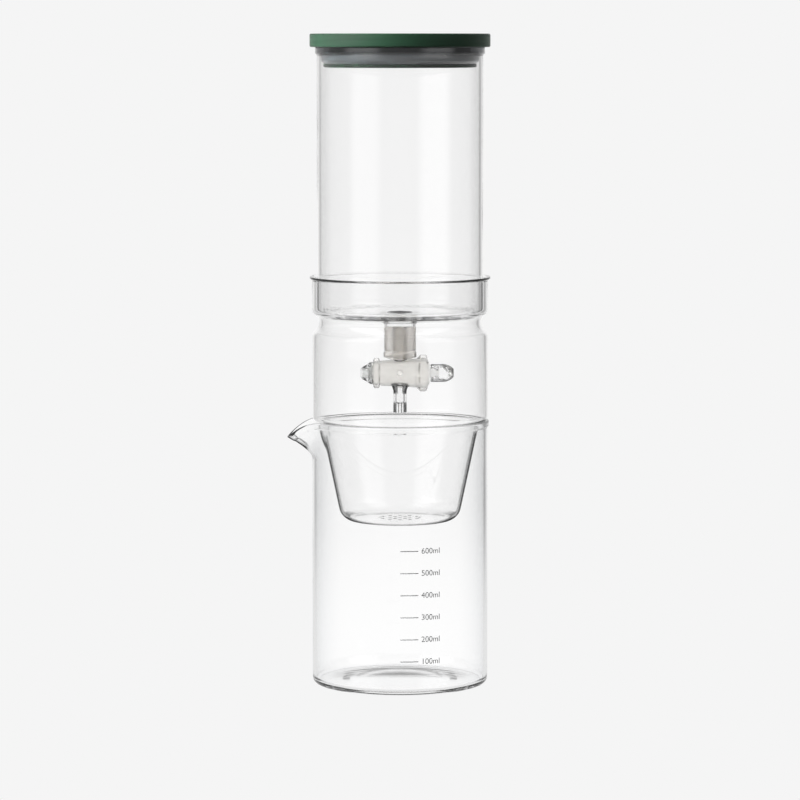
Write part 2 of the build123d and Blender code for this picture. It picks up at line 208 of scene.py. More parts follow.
def inner_line(corners: list[Corner], wall: float) -> list[Corner]:
    """Finds the line one wall inside an open line that has its inside on the left.

    Args:
        corners: the outer line.
        wall: the wall's thickness.

    Returns:
        Corners of the inner line, in the same order.
    """
    points = [Vector(c[:2]) for c in corners]
    runs = [(b - a).normalized() for a, b in zip(points, points[1:])]
    normals = [Vector((-d.y, d.x)) for d in runs]
    last = len(points) - 1
    inner: list[Corner] = []
    for i, point in enumerate(points):
        before, after = normals[max(i - 1, 0)], normals[min(i, last - 1)]
        moved = point + (before + after) * (wall / (1 + before.dot(after)))
        rounding = corners[i][2]
        if 0 < i < last and rounding > 0:
            bend = runs[i - 1].x * runs[i].y - runs[i - 1].y * runs[i].x
            rounding += -wall if bend > 0 else wall
        inner.append((moved.x, moved.y, max(rounding, 0.0)))
    return inner


def divided(line: list[Point], low: float, step: float) -> list[Point]:
    """Adds points on the long runs of a line that lie above a height.

    Args:
        line: points of radius and height.
        low: height under which runs stay as they are.
        step: longest run that is left.

    Returns:
        The line with its new points.
    """
    out = [line[0]]
    for (r0, z0), (r1, z1) in zip(line, line[1:]):
        start, end = 0.0, 1.0
        if min(z0, z1) < low < max(z0, z1):
            cross = (low - z0) / (z1 - z0)
            start, end = (cross, 1.0) if z0 < z1 else (0.0, cross)
        if max(z0, z1) > low:
            run = math.hypot(r1 - r0, z1 - z0) * (end - start)
            parts = max(1, math.ceil(run / step))
            for k in range(parts + 1):
                share = start + (end - start) * k / parts
                if 0 < share < 1:
                    out.append((r0 + (r1 - r0) * share, z0 + (z1 - z0) * share))
        out.append((r1, z1))
    return out


# Meshes


def new_object(name: str, mesh: Mesh) -> Piece:
    """Links a mesh to the scene as an object at the origin.

    Args:
        name: the object's name.
        mesh: its mesh.

    Returns:
        The object.
    """
    piece = bpy.data.objects.new(name, mesh)
    bpy.context.scene.collection.objects.link(piece)
    return piece


def as_plain_mesh(piece: Piece) -> Piece:
    """Replaces a piece's mesh by what its modifiers make of it.

    Args:
        piece: object with live modifiers.

    Returns:
        The same object, without modifiers.
    """
    bpy.context.view_layer.update()
    depsgraph = bpy.context.evaluated_depsgraph_get()
    mesh = bpy.data.meshes.new_from_object(piece.evaluated_get(depsgraph))
    piece.modifiers.clear()
    piece.data = mesh
    return piece


def face_outwards(piece: Piece) -> Piece:
    """Turns a closed piece's faces outwards and marks the edges that stay sharp.

    Args:
        piece: the piece, as a plain mesh.

    Returns:
        The same piece.
    """
    work = bmesh.new()
    work.from_mesh(piece.data)
    if work.calc_volume(signed=True) < 0:
        bmesh.ops.reverse_faces(work, faces=work.faces)
    work.to_mesh(piece.data)
    work.free()
    piece.data.set_sharp_from_angle(angle=SHARP_FROM)
    return piece


class PieceTree:
    """Geometry Nodes tree that makes a piece from the blank it sits on.

    It ends in real geometry with its finish set, which is what the export keeps.
    """

    def __init__(self, name: str, sizes: dict[str, float], counts: tuple[str, ...] = ()) -> None:
        """Starts the tree with its inputs.

        Args:
            name: the tree's name.
            sizes: lengths in millimetres, by the name of their input.
            counts: names of the inputs that are whole numbers.
        """
        self.tree = bpy.data.node_groups.new(name, "GeometryNodeTree")
        kinds = {"Blank": "Geometry", "Finish": "Material"}
        kinds |= dict.fromkeys(sizes, "Float") | dict.fromkeys(counts, "Int")
        self.ids: dict[str, str] = {}
        face = self.tree.interface
        for label, kind in kinds.items():
            socket = face.new_socket(name=label, in_out="INPUT", socket_type=f"NodeSocket{kind}")
            self.ids[label] = socket.identifier
            if label in sizes:
                socket.default_value = sizes[label] * MM
        face.new_socket(name="Piece", in_out="OUTPUT", socket_type="NodeSocketGeometry")
        self.given = add_node(self.tree, "NodeGroupInput").outputs

    def end(self, shape: Node) -> None:
        """Ends the tree with a shape, made real and given its finish.

        Args:
            shape: the node that makes the shape.
        """
        real = add_node(self.tree, "GeometryNodeRealizeInstances", {"Geometry": shape})
        dressed = add_node(
            self.tree, "GeometryNodeSetMaterial", {"Geometry": real, "Material": self.given["Finish"]}
        )
        add_node(self.tree, "NodeGroupOutput", {"Piece": dressed})

    def attach(self, piece: Piece, finish: Material, **counts: int) -> None:
        """Puts the tree on a blank.

        Args:
            piece: the blank.
            finish: the finish that the tree sets.
            counts: whole numbers by the name of their input.
        """
        modifier = piece.modifiers.new(self.tree.name, "NODES")
        modifier.node_group = self.tree
        for label, value in {"Finish": finish, **counts}.items():
            modifier[self.ids[label]] = value


class TurningTree(PieceTree):
    """Tree that turns an outline about the upright axis.

    The outline is swept along a circle of middling radius, from which its own is counted.
    """

    circle = 0.05
    weld = 2e-6

    def __init__(self) -> None:
        """Builds the tree once for all turned pieces."""
        super().__init__("turned_outline", {}, ("Segments",))
        outline = add_node(self.tree, "GeometryNodeMeshToCurve", {"Mesh": self.given["Blank"]})
        path = add_node(
            self.tree,
            "GeometryNodeCurvePrimitiveCircle",
            {"Resolution": self.given["Segments"], "Radius": self.circle},
            mode="RADIUS",
        )
        swept = add_node(self.tree, "GeometryNodeCurveToMesh", {"Curve": path, "Profile Curve": outline})
        closed = add_node(
            self.tree, "GeometryNodeMergeByDistance", {"Geometry": swept, "Distance": self.weld}
        )
        smooth = add_node(self.tree, "GeometryNodeSetShadeSmooth", {"Geometry": closed})
        self.end(smooth)

    def turn(
        self, name: str, line: list[Point], finish: Material, closed: bool = False, segments: int = 256
    ) -> Piece:
        """Turns one outline into a piece.

        Args:
            name: the piece's name.
            line: points of radius and height in millimetres.
            finish: the piece's material.
            closed: whether the outline is a ring that doesn't reach the axis.
            segments: steps around the axis.

        Returns:
            The piece, as a plain mesh.
        """
        mesh = bpy.data.meshes.new(name)
        spots = [(r * MM - self.circle, -z * MM, 0.0) for r, z in line]
        edges = [(i, i + 1) for i in range(len(spots) - 1)]
        if closed:
            edges.append((len(spots) - 1, 0))
        mesh.from_pydata(spots, edges, [])
        piece = new_object(name, mesh)
        self.attach(piece, finish, Segments=segments)
        return face_outwards(as_plain_mesh(piece))


@dataclass
class Drilling:
    """A hole through a piece, with rings of more holes round it, six more in each ring."""

    name: str
    radius: float
    depth: float
    spot: Corner
    tilt: float = 0.0
    rings: int = 0
    pitch: float = 0.0
    sliver: float = 0.005
    bit_sides: int = 32

    def drill(self, piece: Piece, finish: Material) -> None:
        """Drills a piece.

        Args:
            piece: the piece.
            finish: its finish.
        """
        made = PieceTree(self.name, {"Radius": self.radius, "Depth": self.depth, "Pitch": self.pitch})
        tree, given = made.tree, made.given
        spots = [add_node(tree, "GeometryNodePoints", {"Count": 1})]
        for ring in range(1, self.rings + 1):
            radius = add_node(
                tree, "ShaderNodeMath", {0: given["Pitch"], 1: float(ring)}, operation="MULTIPLY"
            )
            circle = add_node(tree, "GeometryNodeMeshCircle", {"Vertices": 6 * ring, "Radius": radius})
            spots.append(add_node(tree, "GeometryNodeMeshToPoints", {"Mesh": circle}))
        joined = add_node(tree, "GeometryNodeJoinGeometry", {"Geometry": spots})
        bit = add_node(
            tree,
            "GeometryNodeMeshCylinder",
            {"Vertices": self.bit_sides, "Radius": given["Radius"], "Depth": given["Depth"]},
        )
        bits = add_node(tree, "GeometryNodeInstanceOnPoints", {"Points": joined, "Instance": bit})
        placed = add_node(
            tree,
            "GeometryNodeTransform",
            {
                "Geometry": bits,
                "Translation": Vector(self.spot) * MM,
                "Rotation": (math.radians(self.tilt), 0.0, 0.0),
            },
        )
        real = add_node(tree, "GeometryNodeRealizeInstances", {"Geometry": placed})
        cut = add_node(
            tree,
            "GeometryNodeMeshBoolean",
            {"Mesh 1": given["Blank"], "Mesh 2": real},
            operation="DIFFERENCE",
            solver="MANIFOLD",
        )
        # Slivers that the cut leaves beside a hole close up
        clean = add_node(
            tree, "GeometryNodeMergeByDistance", {"Geometry": cut, "Distance": self.sliver * MM}
        )
        made.end(clean)
        made.attach(piece, finish)
        face_outwards(as_plain_mesh(piece))


def lay_on_key_axis(piece: Piece, height: float) -> None:
    """Lays a piece turned about Z along the key's axis.

    Args:
        piece: the turned piece.
        height: the key axis' height in millimetres.
    """
    piece.data.transform(Matrix.Translation((0, 0, height * MM)) @ Matrix.Rotation(math.radians(90), 4, "Y"))


def coordinates(mesh: Mesh) -> np.ndarray:
    """Reads a mesh's vertices.

    Args:
        mesh: the mesh.

    Returns:
        A row of X, Y and Z in millimetres for each vertex.
    """
    flat = np.empty(len(mesh.vertices) * 3, np.float32)
    mesh.vertices.foreach_get("co", flat)
    return flat.reshape(-1, 3).astype(float) / MM


def set_coordinates(mesh: Mesh, spots: np.ndarray) -> None:
    """Writes a mesh's vertices, given in millimetres."""
    mesh.vertices.foreach_set("co", (spots * MM).astype(np.float32).ravel())
    mesh.update()


def place(piece: Piece, body: Body, slot: Slot, *nodes: str) -> None:
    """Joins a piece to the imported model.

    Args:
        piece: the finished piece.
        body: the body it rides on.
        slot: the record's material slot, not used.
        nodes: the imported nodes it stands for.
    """
    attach(piece, body.value)
    if nodes:
        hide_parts(*nodes)
    log.info("%s rides on %s", piece.name, body.value)


def dress_node(name: str, finish: Material) -> None:
    """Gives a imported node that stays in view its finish.

    Args:
        name: the node's name.
        finish: its material.
    """
    mesh = frame["nodes"][name].data
    mesh.materials.clear()
    mesh.materials.append(finish)
    log.info("%s keeps its solid", name)


# Finishes


@dataclass(frozen=True)
class PaintedEdgeShade:
    """Zone of a glass piece whose edges get dark lines of painted shade, along one axis of the frame.

    It sets in from start_mm to full_mm and, where stop_mm is given, fades out again there.
    It works on faces from from_facing to to_facing, where 1 is edge on, that lie less flat than flattest.
    Nothing darkens within clear_mm of the stack's axis, and mottle_mm breaks the lines up.
    """

    axis: Axis
    start_mm: float
    full_mm: float
    tone: str
    from_facing: float
    to_facing: float
    flattest: float = 0.97
    flat_ease: float = 0.1
    # Share by which the painted shade also dims what passes through the glass and what it mirrors
    painted_dimming: float = 0.0
    stop_mm: float | None = None
    clear_mm: float | None = None
    clear_ease_mm: float = 1.0
    mottle_mm: float | None = None
    mottle_from: float = 0.38
    mottle_full: float = 0.55

    def share(self, tree: Tree, where: Socket, facing: Socket, lie: Node) -> Node:
        """Adds the zone's share of the painted shade.

        Args:
            tree: the material's tree.
            where: place on the piece.
            facing: how far a face is turned edge on.
            lie: how flat a face lies.

        Returns:
            The share, from 0 outside the zone to 1 inside it.
        """
        parts = add_node(tree, "ShaderNodeSeparateXYZ", {"Vector": where}).outputs
        along = parts[self.axis.value]
        limits = [
            (along, self.start_mm * MM, self.full_mm * MM),
            (facing, self.from_facing, self.to_facing),
            (lie, self.flattest, self.flattest - self.flat_ease),
        ]
        if self.stop_mm is not None:
            ease = self.full_mm - self.start_mm
            limits.append((along, self.stop_mm * MM, (self.stop_mm - ease) * MM))
        if self.clear_mm is not None:
            flat = add_node(tree, "ShaderNodeCombineXYZ", {"X": parts["X"], "Y": parts["Y"]})
            reach = add_node(tree, "ShaderNodeVectorMath", {0: flat}, operation="LENGTH").outputs["Value"]
            limits.append((reach, self.clear_mm * MM, (self.clear_mm + self.clear_ease_mm) * MM))
        if self.mottle_mm is not None:
            mottle = add_node(
                tree,
                "ShaderNodeTexNoise",
                {"Vector": where, "Scale": per_metre(self.mottle_mm), "Detail": 1.0},
            )
            limits.append((mottle, self.mottle_from, self.mottle_full))
        share: Source = 1.0
        for value, start, full in limits:
            limit = add_node(
                tree, "ShaderNodeMapRange", {"Value": value, "From Min": start, "From Max": full}
            )
            share = add_node(tree, "ShaderNodeMath", {0: limit, 1: share}, operation="MULTIPLY")
        return share


@dataclass(frozen=True)
class BorosilicateGlass:
    """Clear borosilicate glass, with painted shade that makes its edges greyer than its faces."""

    name: str
    painted_shade: tuple[PaintedEdgeShade, ...]
    face: str = WHITE
    # Painted shade that greys faces seen edge on: its tone, and where it sets in and where it is full
    edge: str = "#f6f7f8"
    edge_shade_start: float = 0.28
    edge_shade_full: float = 0.72
    # Tint of the gloss where the painted shade is full
    painted_gloss_shade: str = "#101010"
    ior: float = 1.473
    gloss: float = 0.16
    wave_mm: float = 26.0
    wave_height_mm: float = 0.03
    density: float = 2.0
    body: str = "#2a2624"

    def tone(self, tree: Tree) -> tuple[Socket, Source]:
        """Adds the tone that a face passes, greyed by painted shade where it is seen edge on.

        Args:
            tree: the material's tree.

        Returns:
            The tone, and the share of painted shade by which light neither passes nor is mirrored.
        """
        facing = add_node(tree, "ShaderNodeLayerWeight", {"Blend": 0.5}).outputs["Facing"]
        share = add_node(
            tree,
            "ShaderNodeMapRange",
            {"Value": facing, "From Min": self.edge_shade_start, "From Max": self.edge_shade_full},
        )
        tone = add_node(
            tree, "ShaderNodeMix", {0: share, 6: linear(self.face), 7: linear(self.edge)}, data_type="RGBA"
        ).outputs[2]
        coordinate = add_node(tree, "ShaderNodeTexCoord").outputs
        upward = add_node(tree, "ShaderNodeSeparateXYZ", {"Vector": coordinate["Normal"]}).outputs["Z"]
        lie = add_node(tree, "ShaderNodeMath", {0: upward}, operation="ABSOLUTE")
        # Each zone of painted shade darkens the tone and adds to the painted dimming
        painted_dimming: Source = 0.0
        for painted_shade in self.painted_shade:
            zone = painted_shade.share(tree, coordinate["Object"], facing, lie)
            tone = add_node(
                tree, "ShaderNodeMix", {0: zone, 6: tone, 7: linear(painted_shade.tone)}, data_type="RGBA"
            ).outputs[2]
            painted_dimming = add_node(
                tree, "ShaderNodeMath", {0: zone, 1: painted_shade.painted_dimming, 2: painted_dimming}, operation="MULTIPLY_ADD"
            )
        return tone, painted_dimming

    def material(self) -> Material:
        """Builds the glass.

        Returns:
            Its material.
        """
        material, tree = new_material(self.name)
        where = add_node(tree, "ShaderNodeTexCoord").outputs["Object"]
        waves = add_node(
            tree, "ShaderNodeTexNoise", {"Vector": where, "Scale": per_metre(self.wave_mm), "Detail": 1.0}
        )
        bump = add_node(
            tree, "ShaderNodeBump", {"Height": waves, "Strength": 1.0, "Distance": self.wave_height_mm * MM}
        )
        tone, painted_dimming = self.tone(tree)
        # The painted shade also dulls the gloss and stops light passing, through Metallic and a dark Specular
        # Tint
        tint = add_node(
            tree, "ShaderNodeMix", {0: painted_dimming, 6: linear(WHITE), 7: linear(self.painted_gloss_shade)}, data_type="RGBA"
        )
        shader = add_node(
            tree,
            "ShaderNodeBsdfPrincipled",
            {
                "Base Color": tone,
                "Metallic": painted_dimming,
                "Roughness": 0.0,
                "IOR": self.ior,
                "Specular IOR Level": self.gloss,
                "Specular Tint": tint.outputs[2],
                "Transmission Weight": 1.0,
                "Normal": bump,
            },
        )
        # Only light that runs inside a floor or rim goes far enough in the glass to dim
        inside = add_node(
            tree, "ShaderNodeVolumeAbsorption", {"Color": linear(self.body), "Density": self.density}
        )
        add_node(tree, "ShaderNodeOutputMaterial", {"Surface": shader, "Volume": inside})
        return material


@dataclass(frozen=True)
class GrainedFinish:
    """Finish whose tone wavers between two colours over a fine grain."""

    name: str
    light: str
    shade: str
    grain_mm: float
    detail: float
    stretch: Corner = (1.0, 1.0, 1.0)
    relief: float = 0.0
    relief_mm: float = 0.0
    roughness: float = 0.5
    ior: float = 1.5
    through: float = 0.0

    def extras(self, tree: Tree, grain: Node) -> dict[str, object]:
        """Gives the shader inputs that only this kind of finish has."""
        return {}

    def material(self) -> Material:
        """Builds the finish.

        Returns:
            Its material.
        """
        material, tree = new_material(self.name)
        where = add_node(tree, "ShaderNodeTexCoord").outputs["Object"]
        laid = add_node(tree, "ShaderNodeMapping", {"Vector": where, "Scale": self.stretch})
        grain = add_node(
            tree,
            "ShaderNodeTexNoise",
            {"Vector": laid, "Scale": per_metre(self.grain_mm), "Detail": self.detail},
        )
        tone = add_node(
            tree,
            "ShaderNodeMix",
            {0: grain, 6: linear(self.light), 7: linear(self.shade)},
            data_type="RGBA",
        )
        inputs = {
            "Base Color": tone.outputs[2],
            "Roughness": self.roughness,
            "IOR": self.ior,
            "Transmission Weight": self.through,
        } | self.extras(tree, grain)
        if self.relief:
            bump = add_node(
                tree,
                "ShaderNodeBump",
                {"Height": grain, "Strength": self.relief, "Distance": self.relief_mm * MM},
            )
            inputs["Normal"] = bump
        shader = add_node(tree, "ShaderNodeBsdfPrincipled", inputs)
        add_node(tree, "ShaderNodeOutputMaterial", {"Surface": shader})
        return material


@dataclass(frozen=True)
class GroundGlass(GrainedFinish):
    """Ground glass. Real grit is far finer: this is as coarse as it needs to show."""

    grain_mm: float = 0.7
    detail: float = 3.0
    relief: float = 0.3
    relief_mm: float = 0.05


@dataclass(frozen=True)
class Silicone(GrainedFinish):
    """Moulded silicone rubber, which light goes into."""

    grain_mm: float = 5.0
    detail: float = 4.0
    relief: float = 0.2
    relief_mm: float = 0.1
    roughness: float = 0.42
    ior: float = 1.41
    spread: float = 0.0
    depth_mm: float = 8.0
    spread_tint: Corner = (1.0, 0.96, 0.9)
    skin: float = 0.0
    skin_roughness: float = 0.12
    skin_ior: float = 2.0

    def extras(self, tree: Tree, grain: Node) -> dict[str, object]:
        """Gives the light that spreads inside and the moulded skin.

        Args:
            tree: the material's tree, not used.
            grain: the mottle, not used.

        Returns:
            Values by the shader's input.
        """
        return {
            "Subsurface Weight": self.spread,
            "Subsurface Radius": self.spread_tint,
            "Subsurface Scale": self.depth_mm * MM,
            "Coat Weight": self.skin,
            "Coat Roughness": self.skin_roughness,
            "Coat IOR": self.skin_ior,
        }


@dataclass(frozen=True)
class TurnedMoulding(GrainedFinish):
    """Plastic from a turned mould, whose rings are drawn coarser than real tool marks, so that they show."""

    grain_mm: float = 0.9
    detail: float = 2.0
    stretch: Corner = (0.02, 0.02, 1.0)
    relief: float = 0.25
    relief_mm: float = 0.05
    roughness: float = 0.38
    smoother: float = 0.05
    rougher: float = 0.08
    ior: float = 1.52
    gloss: float = 0.12
    bloom: float = 0.03
    bloom_roughness: float = 0.4

    def extras(self, tree: Tree, grain: Node) -> dict[str, object]:
        """Gives the rings' change of gloss and a faint bloom.

        Args:
            tree: the material's tree.
            grain: the rings.

        Returns:
            Values and sockets by the shader's input.
        """
        low, high = self.roughness - self.smoother, self.roughness + self.rougher
        satin = add_node(tree, "ShaderNodeMapRange", {"Value": grain, "To Min": low, "To Max": high})
        return {
            "Roughness": satin,
            "Specular IOR Level": self.gloss,
            "Sheen Weight": self.bloom,
            "Sheen Roughness": self.bloom_roughness,
        }


class Finishes:
    """The object's finishes, each built once."""

    def __init__(self) -> None:
        """Builds them all."""
        # Tones of the painted shade on the glass's edges
        grey, dim, dark = "#8a8c8e", "#2a2c2e", "#1e2022"
        up, across = Axis.UP, Axis.ACROSS
        # Drawn and fire polished: the eye sees through it to faint long waves. Painted shade darkens its
        # edges where it stands in the collar, lays a mottled grey band on its foot, and greys its rim so that
        # the gap between cap and seal looks dark
        self.tank_glass = BorosilicateGlass(
            "borosilicate_drawn_fire_polished",
            edge="#fdfdfd",
            painted_shade=(
                PaintedEdgeShade(up, 227, 222, dim, 0.78, 0.86, painted_dimming=0.9, clear_mm=43.9),
                PaintedEdgeShade(up, 205.4, 205.9, grey, 0.2, 0.4, painted_dimming=0.3, stop_mm=207.4, mottle_mm=5),
                PaintedEdgeShade(up, 349, 349.8, "#8c8e90", 0.86, 0.72, 2.0, painted_dimming=0.1),
            ),
        ).material()
        # Blown thin: clear, with a fine dark line of painted shade along the cup's sides and floor
        self.cup_glass = BorosilicateGlass(
            "borosilicate_blown_cup",
            edge="#fdfdfd",
            painted_shade=(
                PaintedEdgeShade(up, 143, 140, dark, 0.73, 0.81, painted_dimming=0.9),
                PaintedEdgeShade(up, 95, 94, dim, 0.55, 0.75, 0.992, painted_dimming=0.6),
                PaintedEdgeShade(up, 92.2, 91.9, "#3a3c3e", -0.2, -0.1, 0.5, painted_dimming=0.6),
            ),
        ).material()
        # Blown, with a spout pulled hot: clear, with painted shade that greys the rim and draws dark lines in
        # the beak's thick glass
        self.jug_glass = BorosilicateGlass(
            "borosilicate_pulled_spout",
            painted_shade=(
                PaintedEdgeShade(across, -50, -52, dark, 0.5, 0.7, 2.0, painted_dimming=0.9),
                PaintedEdgeShade(up, 144, 146, grey, 0.6, 0.85, 2.0),
            ),
        ).material()
        # Worked over a lamp: short waves, with greyed edges and heavy dark edges of painted shade where the
        # tube is fused and cut
        self.small_glass = BorosilicateGlass(
            "borosilicate_lampworked",
            edge="#c8cacc",
            edge_shade_start=0.45,
            edge_shade_full=0.9,
            wave_mm=7.0,
            painted_shade=(
                PaintedEdgeShade(up, 158, 156, dark, 0.25, 0.5, 2.0, painted_dimming=0.9),
                PaintedEdgeShade(up, 161.5, 162.5, dark, 0.15, 0.4, 2.0, painted_dimming=0.9, stop_mm=168.5),
            ),
        ).material()
        # Pressed in a mould: lumpy, so that light breaks up in it, with grey edges and a dark outline of
        # painted shade
        self.grip_glass = BorosilicateGlass(
            "borosilicate_pressed_grip",
            edge="#a9acae",
            edge_shade_start=0.45,
            edge_shade_full=0.9,
            wave_mm=2.0,
            wave_height_mm=0.9,
            painted_shade=(PaintedEdgeShade(across, 16, 17, dim, 0.4, 0.75, 2.0, painted_dimming=0.8),),
        ).material()
        # Ground with grit: a milky veil with a soft sheen
        self.ground = GroundGlass(
            "glass_ground_taper", WHITE, "#f6f5f2", roughness=0.4, ior=1.12, through=0.95
        ).material()
        # Lightly frosted: cloudy, but the key shows through it
        self.frosted = GroundGlass(
            "glass_frosted_barrel", WHITE, "#faf8f4", roughness=0.08, ior=1.36, through=1.0
        ).material()
        # Moulded and satin: dark green, with faint rings in its gloss
        self.green = TurnedMoulding("abs_moulded_satin_dark_green", "#2c4a38", "#1f3828").material()
        # Moulded and unpigmented: glows warm grey with the light that goes through it
        self.stopper = Silicone(
            "silicone_moulded_warm_grey",
            "#fffbf7",
            "#f8f4ee",
            roughness=0.75,
            ior=1.15,
            through=0.85,
            spread=1.0,
            depth_mm=25.0,
        ).material()
        # Moulded with a slick skin: blue grey, with a sharp highlight
        self.seal = Silicone(
            "silicone_moulded_blue_grey", "#535f65", "#465156", roughness=0.3, skin=1.0
        ).material()
        # Moulded clear: a soft pale ring that hardly shows
        self.ring = Silicone("silicone_moulded_clear", WHITE, "#f4f4f2", through=0.9, ior=1.2).material()
        # Moulded clear: bright and smooth, with a trace of the melt's flow
        self.clear = GrainedFinish(
            "pmma_moulded_clear", WHITE, "#f2f4f4", 3.0, 2.0, roughness=0.15, ior=1.3, through=1.0
        ).material()
        # Turned from rod: waxy white, and half see-through as it is thin
        self.slip = GrainedFinish(
            "ptfe_turned_white", "#fafaf6", "#f0f0ec", 3.0, 2.0, roughness=0.4, ior=1.35, through=0.5
        ).material()
        # Screen printed and fired: matt grey, uneven at the size of the screen's threads
        self.ink = GrainedFinish(
            "ceramic_ink_screen_printed", "#8b8c8d", "#77787a", 0.4, 1.0, roughness=0.7
        ).material()


# Sub-assemblies


@dataclass
class Stack:
    """Heights and radii that the glass pieces share, in millimetres."""

    glass_r: float = 48.6
    wall: float = 2.0
    carafe_top: float = 147.0
    shoulder: float = 146.1
    pinch: float = 201.1
    chamber_top: float = 226.5
    cup_base: float = 90.9
    tank_base: float = 204.55
    tank_top: float = 352.6
    neck_end: float = 185.95
    key_axis: float = 173.35


@dataclass
class Carafe:
    """Lower jug with its pulled spout."""

    stack: Stack
    floor: float = 2.4
    foot_round: float = 3.4
    lip: float = 0.7
    lip_height: float = 3.0
    rim_round: float = 0.9
    punt_r: float = 32.0
    punt_rise: float = 1.2
    punt_slope: float = 4.0
    punt_ease: float = 1.5
    spout_out: float = 13.79
    spout_half: float = 26.0
    spout_power: float = 2.5
    spout_drop: float = 9.5
    spout_zone: float = 22.0
    spout_root: float = 17.5
    spout_lift: float = 1.3
    spout_pull: float = 0.7
    spout_ease: float = 0.3
    spout_step: float = 1.0
    lip_power: float = 1.8
    segments: int = 512

    def outline(self) -> list[Point]:
        """Draws the jug from the middle of its foot, round the rim, to the middle of its floor.

        Returns:
            Points of radius and height.
        """
        s = self.stack
        outer, bore, top = s.glass_r + self.lip, s.glass_r - s.wall, s.carafe_top
        lip_z = top - self.lip_height
        line = rounded(
            [
                (0, self.punt_rise, 0),
                (self.punt_r - self.punt_slope, self.punt_rise, self.punt_ease),
                (self.punt_r, 0, self.punt_ease),
                (s.glass_r, 0, self.foot_round),
                (s.glass_r, lip_z - self.lip, self.lip),
                (outer, lip_z, self.lip),
                (outer, top, self.rim_round),
                (bore, top, self.rim_round),
                (bore, self.floor, self.foot_round - s.wall / 2),
                (0, self.floor, 0),
            ],
            closed=False,
        )
        return divided(line, top - self.spout_zone, self.spout_step)

    def pull_spout(self, mesh: Mesh) -> None:
        """Pulls the rim out into a beak on the -X side.

        Args:
            mesh: the turned jug.
        """
        s = self.stack
        spots = coordinates(mesh)
        x, y, z = spots.T
        reach = np.clip(1 - (y / self.spout_half) ** 2, 0, 1) ** self.spout_power
        reach[x > 0] = 0
        depth = np.clip((s.carafe_top - z) / self.spout_zone, 0, 1)
        # A curve of four control points leads from the tip, in under the beak, down to the wall
        tip = np.array([self.spout_out, -self.spout_drop])
        root = np.array([0.0, -self.spout_root])
        end = np.array([0.0, -self.spout_zone])
        controls = [tip, tip + self.spout_pull * (root - tip), root + self.spout_ease * (end - root), end]
        weights = [(1 - depth) ** 3, 3 * depth * (1 - depth) ** 2, 3 * depth**2 * (1 - depth), depth**3]
        out = sum(w * c[0] for w, c in zip(weights, controls))
        fall = sum(w * c[1] for w, c in zip(weights, controls))
        inside = np.clip((s.glass_r - np.hypot(x, y)) / s.wall, 0, 1)
        sag = reach ** (self.lip_power - (self.lip_power - 1) * depth)
        active = depth < 1
        spots[active, 0] -= (reach * out)[active]
        lowered = (1 - sag) * z + sag * (s.carafe_top + fall) + inside * reach * (1 - depth) * self.spout_lift
        spots[active, 2] = lowered[active]
        set_coordinates(mesh, spots)

    def build(self, turning: TurningTree, finishes: Finishes) -> None:
        """Makes the jug.

        Args:
            turning: the tree that turns outlines.
            finishes: the object's finishes.
        """
        piece = turning.turn("carafe_glass", self.outline(), finishes.jug_glass, segments=self.segments)
        self.pull_spout(piece.data)
        place(piece, Body.CARAFE, Slot.CLEAR_GLASS, "carafe")


